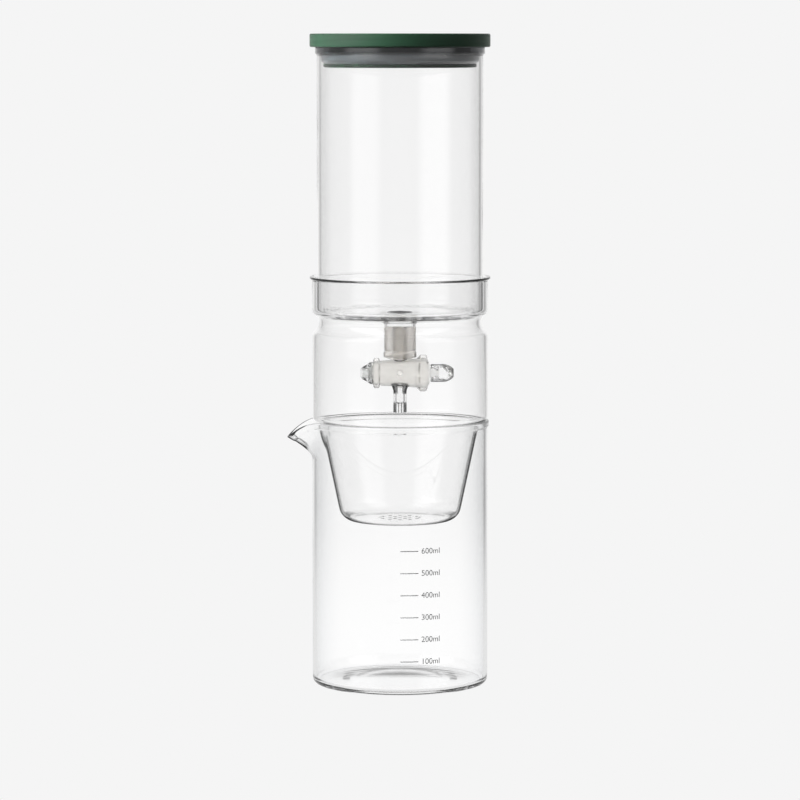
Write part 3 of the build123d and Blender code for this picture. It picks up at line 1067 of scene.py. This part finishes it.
@dataclass
class PrintedScale:
    """Volume marks printed on the carafe's front."""

    stack: Stack
    count: int = 6
    step_ml: float = 100.0
    first: float = 18.9
    pitch: float = 12.14
    start: float = 0.2
    length: float = 9.9
    thickness: float = 0.45
    cuts: int = 24
    text_start: float = 11.7
    text_size: float = 4.4
    lift: float = 0.04
    film: float = 0.02

    def tree(self) -> PieceTree:
        """Builds the tree that repeats a line and its number up the wall.

        Returns:
            The tree.
        """
        sizes = {
            "Pitch": self.pitch,
            "First": self.first,
            "Length": self.length,
            "Thickness": self.thickness,
            "Start": self.start,
            "Text start": self.text_start,
            "Text size": self.text_size,
            "Radius": self.stack.glass_r + self.lift,
        }
        made = PieceTree("printed_scale", sizes)
        tree, given = made.tree, made.given
        begin = add_node(tree, "GeometryNodeRepeatInput")
        again = add_node(tree, "GeometryNodeRepeatOutput")
        begin.pair_with_output(again)
        begin.inputs["Iterations"].default_value = self.count
        tree.links.new(given["Blank"], begin.inputs["Geometry"])
        turn = begin.outputs["Iteration"]
        height, middle, volume = (
            add_node(tree, "ShaderNodeMath", {0: a, 1: b, 2: c}, operation="MULTIPLY_ADD")
            for a, b, c in (
                (turn, given["Pitch"], given["First"]),
                (given["Length"], 0.5, given["Start"]),
                (turn, self.step_ml, self.step_ml),
            )
        )
        # The line, drawn with many cuts so that it can follow the wall
        line = add_node(
            tree,
            "GeometryNodeMeshGrid",
            {
                "Size X": given["Length"],
                "Size Y": given["Thickness"],
                "Vertices X": self.cuts,
                "Vertices Y": 2,
            },
        )
        # Its number
        digits = add_node(tree, "FunctionNodeValueToString", {"Value": volume})
        unit = add_node(tree, "FunctionNodeInputString", string="ml")
        words = add_node(tree, "GeometryNodeStringJoin", {"Strings": [unit, digits]})
        letters = add_node(
            tree,
            "GeometryNodeStringToCurves",
            {"String": words, "Size": given["Text size"]},
            align_y="MIDDLE",
        )
        real = add_node(tree, "GeometryNodeRealizeInstances", {"Geometry": letters})
        filled = add_node(tree, "GeometryNodeFillCurve", {"Curve": real})
        marks = [begin.outputs["Geometry"]]
        for mark, along in ((line, middle), (filled, given["Text start"])):
            spot = add_node(tree, "ShaderNodeCombineXYZ", {"X": along, "Y": height})
            marks.append(add_node(tree, "GeometryNodeTransform", {"Geometry": mark, "Translation": spot}))
        joined = add_node(tree, "GeometryNodeJoinGeometry", {"Geometry": marks})
        tree.links.new(joined.outputs[0], again.inputs["Geometry"])
        # Bends the flat print round the wall
        position = add_node(tree, "GeometryNodeInputPosition")
        flat = add_node(tree, "ShaderNodeSeparateXYZ", {"Vector": position}).outputs
        angle = add_node(tree, "ShaderNodeMath", {0: flat["X"], 1: given["Radius"]}, operation="DIVIDE")
        level = []
        for operation, side in (("SINE", 1.0), ("COSINE", -1.0)):
            way = add_node(tree, "ShaderNodeMath", {0: angle}, operation=operation)
            for factor in (given["Radius"], side):
                way = add_node(tree, "ShaderNodeMath", {0: way, 1: factor}, operation="MULTIPLY")
            level.append(way)
        bent = add_node(tree, "ShaderNodeCombineXYZ", {"X": level[0], "Y": level[1], "Z": flat["Y"]})
        wrapped = add_node(tree, "GeometryNodeSetPosition", {"Geometry": again, "Position": bent})
        made.end(wrapped)
        return made

    def build(self, finishes: Finishes) -> None:
        """Makes the print.

        Args:
            finishes: the object's finishes.
        """
        piece = new_object("printed_scale", bpy.data.meshes.new("printed_scale"))
        self.tree().attach(piece, finishes.ink)
        film = piece.modifiers.new("film", "SOLIDIFY")
        film.thickness = self.film * MM
        film.offset = -1.0
        place(as_plain_mesh(piece), Body.CARAFE, Slot.CLEAR_GLASS)


@dataclass
class BrewChamber:
    """Middle glass: collar, pinched neck, valve room and coffee cup."""

    stack: Stack
    cup_wall: float = 0.9
    lip: float = 1.39
    lip_taper: float = 1.0
    lip_round: float = 0.556
    pinch_depth: float = 4.0
    pinch_round: float = 5.0
    pinch_ease: float = 4.4
    shoulder_round: float = 3.6
    cup_ledge: float = 0.1
    cup_taper: float = 12.0
    cup_round: float = 8.6
    cup_neck_round: float = 1.0
    hole_r: float = 1.0
    hole_pitch: float = 5.5
    hole_rings: int = 2
    bit_length: float = 8.0

    def outline(self) -> list[Point]:
        """Draws the glass from the middle of the cup's underside, over the rim, to the cup's floor.

        Returns:
            Points of radius and height.
        """
        s = self.stack
        r = s.glass_r
        pinch_r = r - self.pinch_depth - self.pinch_round * (math.sqrt(2) - 1)
        pinch_h = r - pinch_r
        taper = math.radians(self.cup_taper)
        neck = self.cup_neck_round * math.tan(math.pi / 4 - taper / 2)
        mouth = r - self.shoulder_round - self.cup_ledge - neck
        base = mouth - (s.shoulder - s.cup_base) * math.tan(taper)
        lip_z = s.chamber_top - s.wall
        outer = [
            (0, s.cup_base, 0),
            (base, s.cup_base, self.cup_round),
            (mouth, s.shoulder, self.cup_neck_round),
            (r, s.shoulder, self.shoulder_round),
            (r, s.pinch - pinch_h, self.pinch_ease),
            (pinch_r, s.pinch, self.pinch_round),
            (r, s.pinch + pinch_h, self.pinch_ease),
            (r, lip_z, self.lip_round),
            (r + self.lip, lip_z, self.lip_round),
        ]
        # The cup has a thinner wall than the room over it
        inner = inner_line(outer, self.cup_wall)[:4] + inner_line(outer, s.wall)[4:]
        inner[-1] = (*inner[-1][:2], self.lip_round)
        outer[-1] = (r + self.lip, lip_z + self.lip_taper, self.lip_round)
        return rounded(outer + inner[::-1], closed=False)

    def build(self, turning: TurningTree, finishes: Finishes) -> None:
        """Makes the middle glass.

        Args:
            turning: the tree that turns outlines.
            finishes: the object's finishes.
        """
        piece = turning.turn("brew_chamber_glass", self.outline(), finishes.cup_glass)
        Drilling(
            "drip_holes",
            self.hole_r,
            self.bit_length,
            (0, 0, self.stack.cup_base),
            rings=self.hole_rings,
            pitch=self.hole_pitch,
        ).drill(piece, finishes.cup_glass)
        place(piece, Body.CHAMBER, Slot.CLEAR_GLASS, "brew_chamber")


@dataclass
class WaterTank:
    """Upper glass with its neck, and the silicone stopper in it."""

    stack: Stack
    gap: float = 0.8
    lifted: float = 0.8
    floor: float = 1.6
    foot_round: float = 4.2
    bead: float = 1.0
    bead_edge: float = 0.5
    bead_height: float = 3.4
    rim_round: float = 0.5
    neck_r: float = 8.85
    neck_wall: float = 1.6
    neck_ease: float = 2.4
    neck_rim_round: float = 0.6
    under_rings: Point = (0.86, 0.89)
    floor_rings: Point = (0.9, 0.88)
    stopper_length: float = 14.0
    stopper_flange: float = 0.25
    stopper_edge: float = 0.2
    stopper_segments: int = 128
    flange_edge: float = 2.4
    flange_cone: float = 1.4
    flange_gap: float = 1.2
    hole_r: float = 2.5
    funnel: float = 2.6
    tube_r: float = 3.68
    wet: float = 0.05
    ripple_height: float = 0.35
    ripple_reach: float = 3.0
    ripple_from: float = 0.9
    ripple_ease: float = 0.02
    ripple_skin: float = 0.5
    ripple_phase: float = 1.7
    ripple_waves: tuple[int, ...] = (13, 21, 34, 47)

    @property
    def radius(self) -> float:
        """Outer radius of the tank's wall."""
        return self.stack.glass_r - self.stack.wall - self.gap

    def outline(self) -> list[Point]:
        """Draws the ring of the tank's glass, with extra points beside the foot that keep its ripple there.

        Returns:
            Points of radius and height.
        """
        s = self.stack
        bore, neck_bore = self.radius - s.wall, self.neck_r - self.neck_wall
        bead_r, bead_z = self.radius + self.bead, s.tank_top - self.bead_height
        base = s.tank_base + self.lifted
        floor_z = base + self.floor
        return rounded(
            [
                (neck_bore, s.neck_end, self.neck_rim_round),
                (self.neck_r, s.neck_end, self.neck_rim_round),
                (self.neck_r, base, self.neck_ease),
                *((share * self.radius, base, 0) for share in self.under_rings),
                (self.radius, base, self.foot_round),
                (self.radius, bead_z - self.bead, self.bead),
                (bead_r, bead_z, self.bead_edge),
                (bead_r, s.tank_top, self.bead_edge),
                (bore, s.tank_top, self.rim_round),
                (bore, floor_z, self.foot_round - s.wall),
                *((share * bore, floor_z, 0) for share in self.floor_rings),
                (neck_bore, floor_z, self.floor / 2),
            ],
            closed=True,
        )

    def ripple(self, mesh: Mesh) -> None:
        """Makes the foot's inner corner uneven, as left by the tool that closed it.

        Args:
            mesh: the turned tank.
        """
        spots = coordinates(mesh)
        x, y, z = spots.T
        turn, r = np.arctan2(y, x), np.hypot(x, y)
        floor_z = self.stack.tank_base + self.lifted + self.floor
        corner = np.clip(1 - np.abs(z - floor_z) / self.ripple_reach, 0, 1)
        corner *= np.clip((r / self.radius - self.ripple_from) / self.ripple_ease, 0, 1)
        corner *= r < self.radius - self.ripple_skin
        waves = [np.sin(k * turn + self.ripple_phase * k * k) for k in self.ripple_waves]
        spots[:, 2] += self.ripple_height * corner * sum(waves) / len(waves)
        set_coordinates(mesh, spots)

    def stopper_outline(self) -> list[Point]:
        """Draws the ring of the stopper, pressed a hair into the glass so that it looks wet against it.

        Returns:
            Points of radius and height.
        """
        s = self.stack
        body = self.neck_r - self.neck_wall + self.wet
        flange = self.neck_r + self.stopper_flange
        top, edge = s.neck_end + self.stopper_length, s.neck_end - self.flange_gap
        base = edge - self.flange_edge - self.flange_cone
        bore_top = top - self.funnel
        return rounded(
            [
                (self.tube_r, base, 0),
                (self.tube_r + self.flange_cone, base, self.stopper_edge),
                (flange, edge - self.flange_edge, self.flange_cone / 2),
                (flange, edge, self.flange_cone / 2),
                (body + self.neck_wall / 2, s.neck_end, 0),
                (body, s.neck_end, 0),
                (body, top, self.neck_wall / 2),
                (self.hole_r + self.funnel, top, self.stopper_edge),
                (self.hole_r, bore_top, 0),
                (self.tube_r, bore_top, 0),
            ],
            closed=True,
        )

    def build(self, turning: TurningTree, finishes: Finishes) -> None:
        """Makes the tank and its stopper.

        Args:
            turning: the tree that turns outlines.
            finishes: the object's finishes.
        """
        tank = turning.turn("water_tank_glass", self.outline(), finishes.tank_glass, closed=True)
        self.ripple(tank.data)
        stopper = turning.turn(
            "neck_stopper_rubber",
            self.stopper_outline(),
            finishes.stopper,
            closed=True,
            segments=self.stopper_segments,
        )
        place(tank, Body.TANK, Slot.CLEAR_GLASS, "water_tank")
        place(stopper, Body.TANK, Slot.STOPPER, "neck_stopper")


@dataclass
class Stopcock:
    """Cross barrel with its ground key, knob and retainer."""

    stack: Stack
    key_r: float = 5.5
    key_taper: float = 0.05
    wall: float = 2.0
    small_end: float = 14.8
    big_end: float = 15.6
    bead: float = 1.5
    bead_w: float = 3.6
    bead_round: float = 1.2
    bead_root: float = 0.25
    bell: float = 2.3
    bell_w: float = 6.6
    bell_mouth: float = 1.6
    bell_round: float = 1.3
    mouth_round: float = 0.3
    bore_edge: float = 0.2
    shank_r: float = 2.4
    shank_small: float = 20.5
    shank_big: float = 21.5
    key_head: float = 0.7
    key_edge: float = 0.1
    key_bore: float = 1.5
    bit_length: float = 22.0
    wet: float = 0.04
    tube_r: float = 3.65
    tube_bore: float = 2.0
    tube_length: float = 21.8
    tube_sunk: float = 0.8
    tip_r: float = 2.68
    tip_length: float = 5.6
    flare: float = 1.2
    flare_height: float = 3.4
    barrel_segments: int = 160
    tube_segments: int = 96
    key_segments: int = 128

    def taper_r(self, along: float) -> float:
        """Radius of the ground taper at a distance along the key."""
        return self.key_r + self.key_taper * along

    def barrel_outline(self) -> list[Point]:
        """Draws the ring of the barrel.

        Returns:
            Points of radius and distance along the key.
        """
        bead_end = self.bead_w - self.small_end
        bell_start = self.big_end - self.bell_w
        bead_r = self.taper_r(bead_end) + self.wall + self.bead
        bell_r = self.taper_r(bell_start) + self.wall + self.bell
        mouth = self.taper_r(self.big_end) + self.bell_mouth
        return rounded(
            [
                (self.taper_r(-self.small_end), -self.small_end, self.bore_edge),
                (bead_r, -self.small_end, self.bead_round),
                (bead_r, bead_end, self.bead_round),
                (self.taper_r(bead_end) + self.wall, bead_end, self.bead_root),
                (self.taper_r(bell_start) + self.wall, bell_start, self.bell_round),
                (bell_r, bell_start + self.bell, self.bell_round),
                (bell_r, self.big_end - (bell_r - mouth) / 2, self.bell_round),
                (mouth, self.big_end, self.mouth_round),
                (self.taper_r(self.big_end), self.big_end, self.bore_edge),
            ],
            closed=True,
        )

    def key_outline(self) -> list[Point]:
        """Draws the key, a hair into the barrel's bore, as if greased against it.

        Returns:
            Points of radius and distance along the key.
        """
        small, big = -self.small_end, self.big_end + self.key_head
        edge = self.shank_r / 4
        return rounded(
            [
                (0, -self.shank_small, 0),
                (self.shank_r, -self.shank_small, edge),
                (self.shank_r, small, 0),
                (self.taper_r(small) + self.wet, small, self.key_edge),
                (self.taper_r(self.big_end) + self.wet, self.big_end - self.wet, 0),
                (self.taper_r(self.big_end) - self.wet, self.big_end, 0),
                (self.taper_r(big) - self.wet, big, self.key_head / 2),
                (self.shank_r, big, 0),
                (self.shank_r, self.shank_big, edge),
                (0, self.shank_big, 0),
            ],
            closed=False,
        )

    def tube_outline(self) -> list[Point]:
        """Draws the ring of the drip tube, flared where it is fused to the barrel.

        Returns:
            Points of radius and height.
        """
        fused = self.stack.key_axis - self.key_r - self.tube_sunk
        low = self.stack.key_axis - self.tube_length
        return rounded(
            [
                (self.tube_bore, low + self.tip_length, 0),
                (self.tip_r, low + self.tip_length, 0),
                (self.tip_r, low, self.bore_edge),
                (self.tube_r, low, self.mouth_round),
                (self.tube_r, fused - self.flare_height, self.flare_height / 2),
                (self.tube_r + self.flare, fused, 0),
                (self.tube_bore, fused, 0),
            ],
            closed=True,
        )

    def build(self, turning: TurningTree, finishes: Finishes) -> None:
        """Makes the barrel, key and drip tube and dresses the small solids that stay.

        Args:
            turning: the tree that turns outlines.
            finishes: the object's finishes.
        """
        f, axis = finishes, self.stack.key_axis
        barrel = turning.turn(
            "valve_barrel_glass", self.barrel_outline(), f.frosted, True, self.barrel_segments
        )
        tube = turning.turn("drip_tube_glass", self.tube_outline(), f.small_glass, True, self.tube_segments)
        key = turning.turn("valve_key_ground", self.key_outline(), f.ground, False, self.key_segments)
        for piece in (barrel, key):
            lay_on_key_axis(piece, axis)
        Drilling("key_bore", self.key_bore, self.bit_length, (0, 0, axis), tilt=90).drill(key, f.ground)
        for node, finish in {
            "valve_knob": f.grip_glass,
            "key_retainer": f.clear,
            "retainer_washer": f.slip,
            "retainer_o_ring": f.ring,
            "inlet_tube": f.small_glass,
            "drip_tip": f.small_glass,
        }.items():
            dress_node(node, finish)
        place(barrel, Body.TANK, Slot.FROSTED_GLASS, "valve_barrel")
        place(key, Body.KEY, Slot.FROSTED_GLASS, "valve_key")
        place(tube, Body.TANK, Slot.CLEAR_GLASS, "drip_tube")


@dataclass
class Lid:
    """Green cap and plug with the silicone seal between them."""

    stack: Stack
    tank_r: float = 45.8
    overhang: float = 3.9
    thickness: float = 7.395
    edge_round: float = 0.9
    plug_flange: float = 1.9
    plug_inset: float = 1.4
    plug_wall: float = 2.2
    spigot: float = 3.2
    seal_t: float = 4.6
    seal_h: float = 6.6
    seal_drop: float = 2.7
    seal_sweep: float = 1.8
    fit: float = 0.05
    seal_gap: float = 0.2

    def build(self, turning: TurningTree, finishes: Finishes) -> None:
        """Makes the cap, the plug and the seal.

        Args:
            turning: the tree that turns outlines.
            finishes: the object's finishes.
        """
        top = self.stack.tank_top
        seal_r = self.tank_r - self.stack.wall - self.fit
        groove = seal_r - self.seal_gap - self.seal_t
        spigot = groove - self.plug_wall / 2
        seal_top = top - self.seal_drop
        seal_base = seal_top - self.seal_h
        base = seal_base - self.plug_flange
        socket, bore = spigot + self.fit, groove + self.fit
        edge = self.tank_r + self.overhang
        flange, hollow = seal_r - self.seal_gap - self.plug_inset, spigot - self.plug_wall
        cap = [
            (0, top + self.spigot, 0),
            (socket, top + self.spigot, 0),
            (socket, top, 0),
            (edge, top, self.edge_round),
            (edge, top + self.thickness, self.edge_round),
            (0, top + self.thickness, 0),
        ]
        plug = [
            (0, base, 0),
            (flange, base, self.plug_flange / 3),
            (flange, base + self.plug_flange, self.plug_flange / 3),
            (groove, base + self.plug_flange, 0),
            (groove, top, 0),
            (spigot, top, 0),
            (spigot, top + self.spigot, 0),
            (hollow, top + self.spigot, 0),
            (hollow, base + self.plug_wall, self.plug_wall / 2),
            (0, base + self.plug_wall, 0),
        ]
        seal = [
            (bore, seal_base, 0),
            (seal_r - self.seal_sweep, seal_base, self.seal_sweep / 4),
            (seal_r, seal_base + self.seal_sweep, self.seal_sweep),
            (seal_r, seal_top, self.seal_sweep / 4),
            (bore, seal_top, 0),
        ]
        for name, corners, closed, finish, slot, node in (
            ("lid_cap_green", cap, False, finishes.green, Slot.GREEN, "lid_cap"),
            ("lid_plug_green", plug, False, finishes.green, Slot.GREEN, "lid_plug"),
            ("lid_seal_rubber", seal, True, finishes.seal, Slot.SEAL, "lid_seal"),
        ):
            place(turning.turn(name, rounded(corners, closed), finish, closed), Body.LID, slot, node)


# Studio


@dataclass(frozen=True)
class Strip:
    """Tall soft light in the room, as mirrored by glass and gloss."""

    azimuth: float
    width: float
    strength: float
    core: float = 0.3

    def socket(self, tree: Tree, flat: Node) -> Node:
        """Adds the strip's share of the room's light.

        Args:
            tree: the world's or the floor's tree.
            flat: level direction of the view.

        Returns:
            The strip's strength in that direction.
        """
        turn = math.radians(self.azimuth)
        near = add_node(
            tree,
            "ShaderNodeVectorMath",
            {0: flat, 1: (math.sin(turn), -math.cos(turn), 0.0)},
            operation="DOT_PRODUCT",
        )
        share = add_node(
            tree,
            "ShaderNodeMapRange",
            {
                "Value": near.outputs["Value"],
                "From Min": math.cos(math.radians(self.width)),
                "From Max": math.cos(math.radians(self.width * self.core)),
                "To Max": self.strength,
            },
            interpolation_type="SMOOTHSTEP",
        )
        return share


@dataclass(frozen=True)
class Wash:
    """Broad light that matt faces gather from one side of the room."""

    strength: float
    way: Corner
    power: float = 7.0

    def socket(self, tree: Tree, way: Socket, under: Source) -> Node:
        """Adds the wash to what lies under it.

        Args:
            tree: the world's tree.
            way: direction of the view.
            under: strength without the wash.

        Returns:
            The strength with it.
        """
        toward = add_node(
            tree, "ShaderNodeVectorMath", {0: way, 1: Vector(self.way).normalized()}, operation="DOT_PRODUCT"
        )
        lit = add_node(tree, "ShaderNodeMath", {0: toward.outputs["Value"], 1: 0.0}, operation="MAXIMUM")
        lobe = add_node(tree, "ShaderNodeMath", {0: lit, 1: self.power}, operation="POWER")
        return add_node(
            tree, "ShaderNodeMath", {0: lobe, 1: self.strength, 2: under}, operation="MULTIPLY_ADD"
        )


@dataclass
class Studio:
    """Pale floor, soft light and the camera. Floor distances are in metres."""

    pale: str = "#f5f5f5"
    backlight: float = 0.965
    backlight_near: float = 1.03
    near_start: float = 0.5
    near_reach: float = 4.5
    room_front: float = 0.5
    room_side: float = 0.42
    front_edge: float = -0.6
    front_full: float = -0.95
    room_back: float = 0.95
    back_edge: float = 0.85
    back_full: float = 0.997
    room_lean: float = 0.12
    room_high: float = 0.5
    high_edge: float = 0.3
    high_full: float = 0.75
    floor_near: float = 0.8
    pool_edge: float = 0.9
    pool_full: float = 0.15
    strips_from: float = 4.0
    strips_full: float = 30.0
    floor_radius: float = 60.0
    floor_segments: int = 128
    floor_drop: float = 0.0003
    ambient: float = 0.1
    washes: tuple[Wash, ...] = (Wash(34, (-0.98, -0.1, 0.15)), Wash(10, (0.5, 0.8, 0.3)))
    strips: tuple[Strip, ...] = (Strip(-54, 32, 1.4), Strip(54, 30, 1.1))
    camera_back: float = 2100.0
    camera_height: float = 356.0
    aim_height: float = 157.8
    pixels_per_mm: float = 1.804
    frame_pixels: float = 800.0
    sensor_mm: float = 36.0
    clip: Point = (0.05, 100.0)
    glass_bounces: int = 32
    gloss_bounces: int = 12

    def camera(self) -> None:
        """Sets the camera where the photograph was taken from."""
        stand = Vector((0, -self.camera_back, self.camera_height)) * MM
        aim = Vector((0, 0, self.aim_height)) * MM
        data = bpy.data.cameras.new("photo_camera")
        data.sensor_width = self.sensor_mm
        distance_mm = (stand - aim).length / MM
        data.lens = self.pixels_per_mm * distance_mm / self.frame_pixels * self.sensor_mm
        data.clip_start, data.clip_end = self.clip
        camera = bpy.data.objects.new("photo_camera", data)
        camera.location = stand
        camera.rotation_euler = (aim - stand).to_track_quat("-Z", "Y").to_euler()
        bpy.context.scene.collection.objects.link(camera)
        bpy.context.scene.camera = camera

    def by_ray(self, tree: Tree, straight: Source, mirrored: Source, scattered: Source) -> Node:
        """Picks a strength by what the ray has met on its way.

        Args:
            tree: the world's or the floor's tree.
            straight: strength for rays that glass has only bent.
            mirrored: strength for rays that glass or gloss has mirrored.
            scattered: strength for rays that a matt face has scattered.

        Returns:
            The strength, which is the pale tone for the camera's own rays.
        """
        path = add_node(tree, "ShaderNodeLightPath").outputs
        strength = straight
        for kind, value in (
            (path["Glossy Depth"], mirrored),
            (path["Diffuse Depth"], scattered),
            (path["Is Camera Ray"], linear(self.pale)[0]),
        ):
            met = add_node(tree, "ShaderNodeMath", {0: kind, 1: 0.5}, operation="GREATER_THAN")
            strength = add_node(tree, "ShaderNodeMix", {0: met, 2: strength, 3: value})
        return strength

    def room(self, tree: Tree, flat: Node, steep: Source, strips: Source) -> Node:
        """Adds the room that glass mirrors: bright behind, dimmer at the sides, dark overhead.

        Args:
            tree: the world's or the floor's tree.
            flat: level direction from the object.
            steep: 0 for level rays, 1 for steep ones.
            strips: share of the strips' light that shows.

        Returns:
            The room's strength.
        """
        across = add_node(tree, "ShaderNodeSeparateXYZ", {"Vector": flat}).outputs
        front = add_node(
            tree,
            "ShaderNodeMapRange",
            {
                "Value": across["Y"],
                "From Min": self.front_edge,
                "From Max": self.front_full,
                "To Min": self.room_side,
                "To Max": self.room_front,
            },
            interpolation_type="SMOOTHSTEP",
        )
        back = add_node(
            tree,
            "ShaderNodeMapRange",
            {"Value": across["Y"], "From Min": self.back_edge, "From Max": self.back_full},
            interpolation_type="SMOOTHSTEP",
        )
        walls = add_node(tree, "ShaderNodeMix", {0: back, 2: front, 3: self.room_back})
        lean = add_node(
            tree, "ShaderNodeMath", {0: across["X"], 1: -self.room_lean, 2: walls}, operation="MULTIPLY_ADD"
        )
        room = add_node(tree, "ShaderNodeMix", {0: steep, 2: lean, 3: self.room_high})
        for strip in self.strips:
            share = strip.socket(tree, flat)
            room = add_node(
                tree, "ShaderNodeMath", {0: share, 1: strips, 2: room}, operation="MULTIPLY_ADD"
            )
        return room

    def world(self) -> None:
        """Makes the room: pale to the eye, with soft strips at both sides and a wash from the left."""
        world = bpy.data.worlds.new("studio_room")
        bpy.context.scene.world = world
        world.use_nodes = True
        tree = world.node_tree
        tree.nodes.clear()
        way = add_node(tree, "ShaderNodeTexCoord").outputs["Generated"]
        up = add_node(tree, "ShaderNodeSeparateXYZ", {"Vector": way}).outputs["Z"]
        steep = add_node(
            tree,
            "ShaderNodeMapRange",
            {"Value": up, "From Min": self.high_edge, "From Max": self.high_full},
            interpolation_type="SMOOTHSTEP",
        )
        level = add_node(tree, "ShaderNodeVectorMath", {0: way, 1: (1.0, 1.0, 0.0)}, operation="MULTIPLY")
        flat = add_node(tree, "ShaderNodeVectorMath", {0: level}, operation="NORMALIZE")
        room = self.room(tree, flat, steep, 1.0)
        straight = add_node(tree, "ShaderNodeMix", {0: steep, 2: self.backlight, 3: self.room_high})
        scattered: Source = self.ambient
        for wash in self.washes:
            scattered = wash.socket(tree, way, scattered)
        strength = self.by_ray(tree, straight, room, scattered)
        light = add_node(tree, "ShaderNodeBackground", {"Color": linear(WHITE), "Strength": strength})
        add_node(tree, "ShaderNodeOutputWorld", {"Surface": light})
        world.cycles.sampling_method = "NONE"

    def paper(self) -> Material:
        """Builds the floor's pale paper, which glows so that it has no horizon.

        Returns:
            Its material.
        """
        material, tree = new_material("paper_sweep_pale")
        where = add_node(tree, "ShaderNodeTexCoord").outputs["Object"]
        away = add_node(tree, "ShaderNodeVectorMath", {0: where}, operation="LENGTH").outputs["Value"]
        fade = add_node(
            tree,
            "ShaderNodeMapRange",
            {
                "Value": away,
                "From Min": self.near_start,
                "From Max": self.near_reach,
                "To Min": self.backlight_near,
                "To Max": self.backlight,
            },
        )
        pool = add_node(
            tree,
            "ShaderNodeMapRange",
            {"Value": away, "From Min": self.pool_edge, "From Max": self.pool_full},
            interpolation_type="SMOOTHSTEP",
        )
        flat = add_node(tree, "ShaderNodeVectorMath", {0: where}, operation="NORMALIZE")
        strips = add_node(
            tree,
            "ShaderNodeMapRange",
            {"Value": away, "From Min": self.strips_from, "From Max": self.strips_full},
        )
        far = self.room(tree, flat, 0.0, strips)
        room = add_node(tree, "ShaderNodeMix", {0: pool, 2: far, 3: self.floor_near})
        strength = self.by_ray(tree, fade, room, self.ambient)
        light = add_node(tree, "ShaderNodeEmission", {"Color": linear(WHITE), "Strength": strength})
        add_node(tree, "ShaderNodeOutputMaterial", {"Surface": light})
        material.cycles.emission_sampling = "NONE"
        return material

    def floor(self) -> None:
        """Lays a seamless floor that runs to the horizon, a hair under the foot."""
        mesh = bpy.data.meshes.new("floor")
        work = bmesh.new()
        bmesh.ops.create_circle(work, cap_ends=True, segments=self.floor_segments, radius=self.floor_radius)
        bmesh.ops.translate(work, verts=work.verts, vec=(0, 0, -self.floor_drop))
        work.to_mesh(mesh)
        work.free()
        mesh.materials.append(self.paper())
        new_object("floor", mesh)

    def build(self) -> None:
        """Sets up the whole studio."""
        scene = bpy.context.scene
        scene.view_settings.view_transform = "Standard"
        scene.cycles.max_bounces = self.glass_bounces
        scene.cycles.transmission_bounces = self.glass_bounces
        scene.cycles.glossy_bounces = self.gloss_bounces
        scene.cycles.use_denoising = True
        self.camera()
        self.world()
        self.floor()


def main() -> None:
    """Builds the pieces in order, then the studio."""
    logging.basicConfig(level=logging.INFO, format="%(name)s: %(message)s")
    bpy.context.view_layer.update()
    turning = TurningTree()
    finishes = Finishes()
    stack = Stack()
    Carafe(stack).build(turning, finishes)
    PrintedScale(stack).build(finishes)
    BrewChamber(stack).build(turning, finishes)
    WaterTank(stack).build(turning, finishes)
    Stopcock(stack).build(turning, finishes)
    Lid(stack).build(turning, finishes)
    Studio().build()


if __name__ == "__main__":
    main()
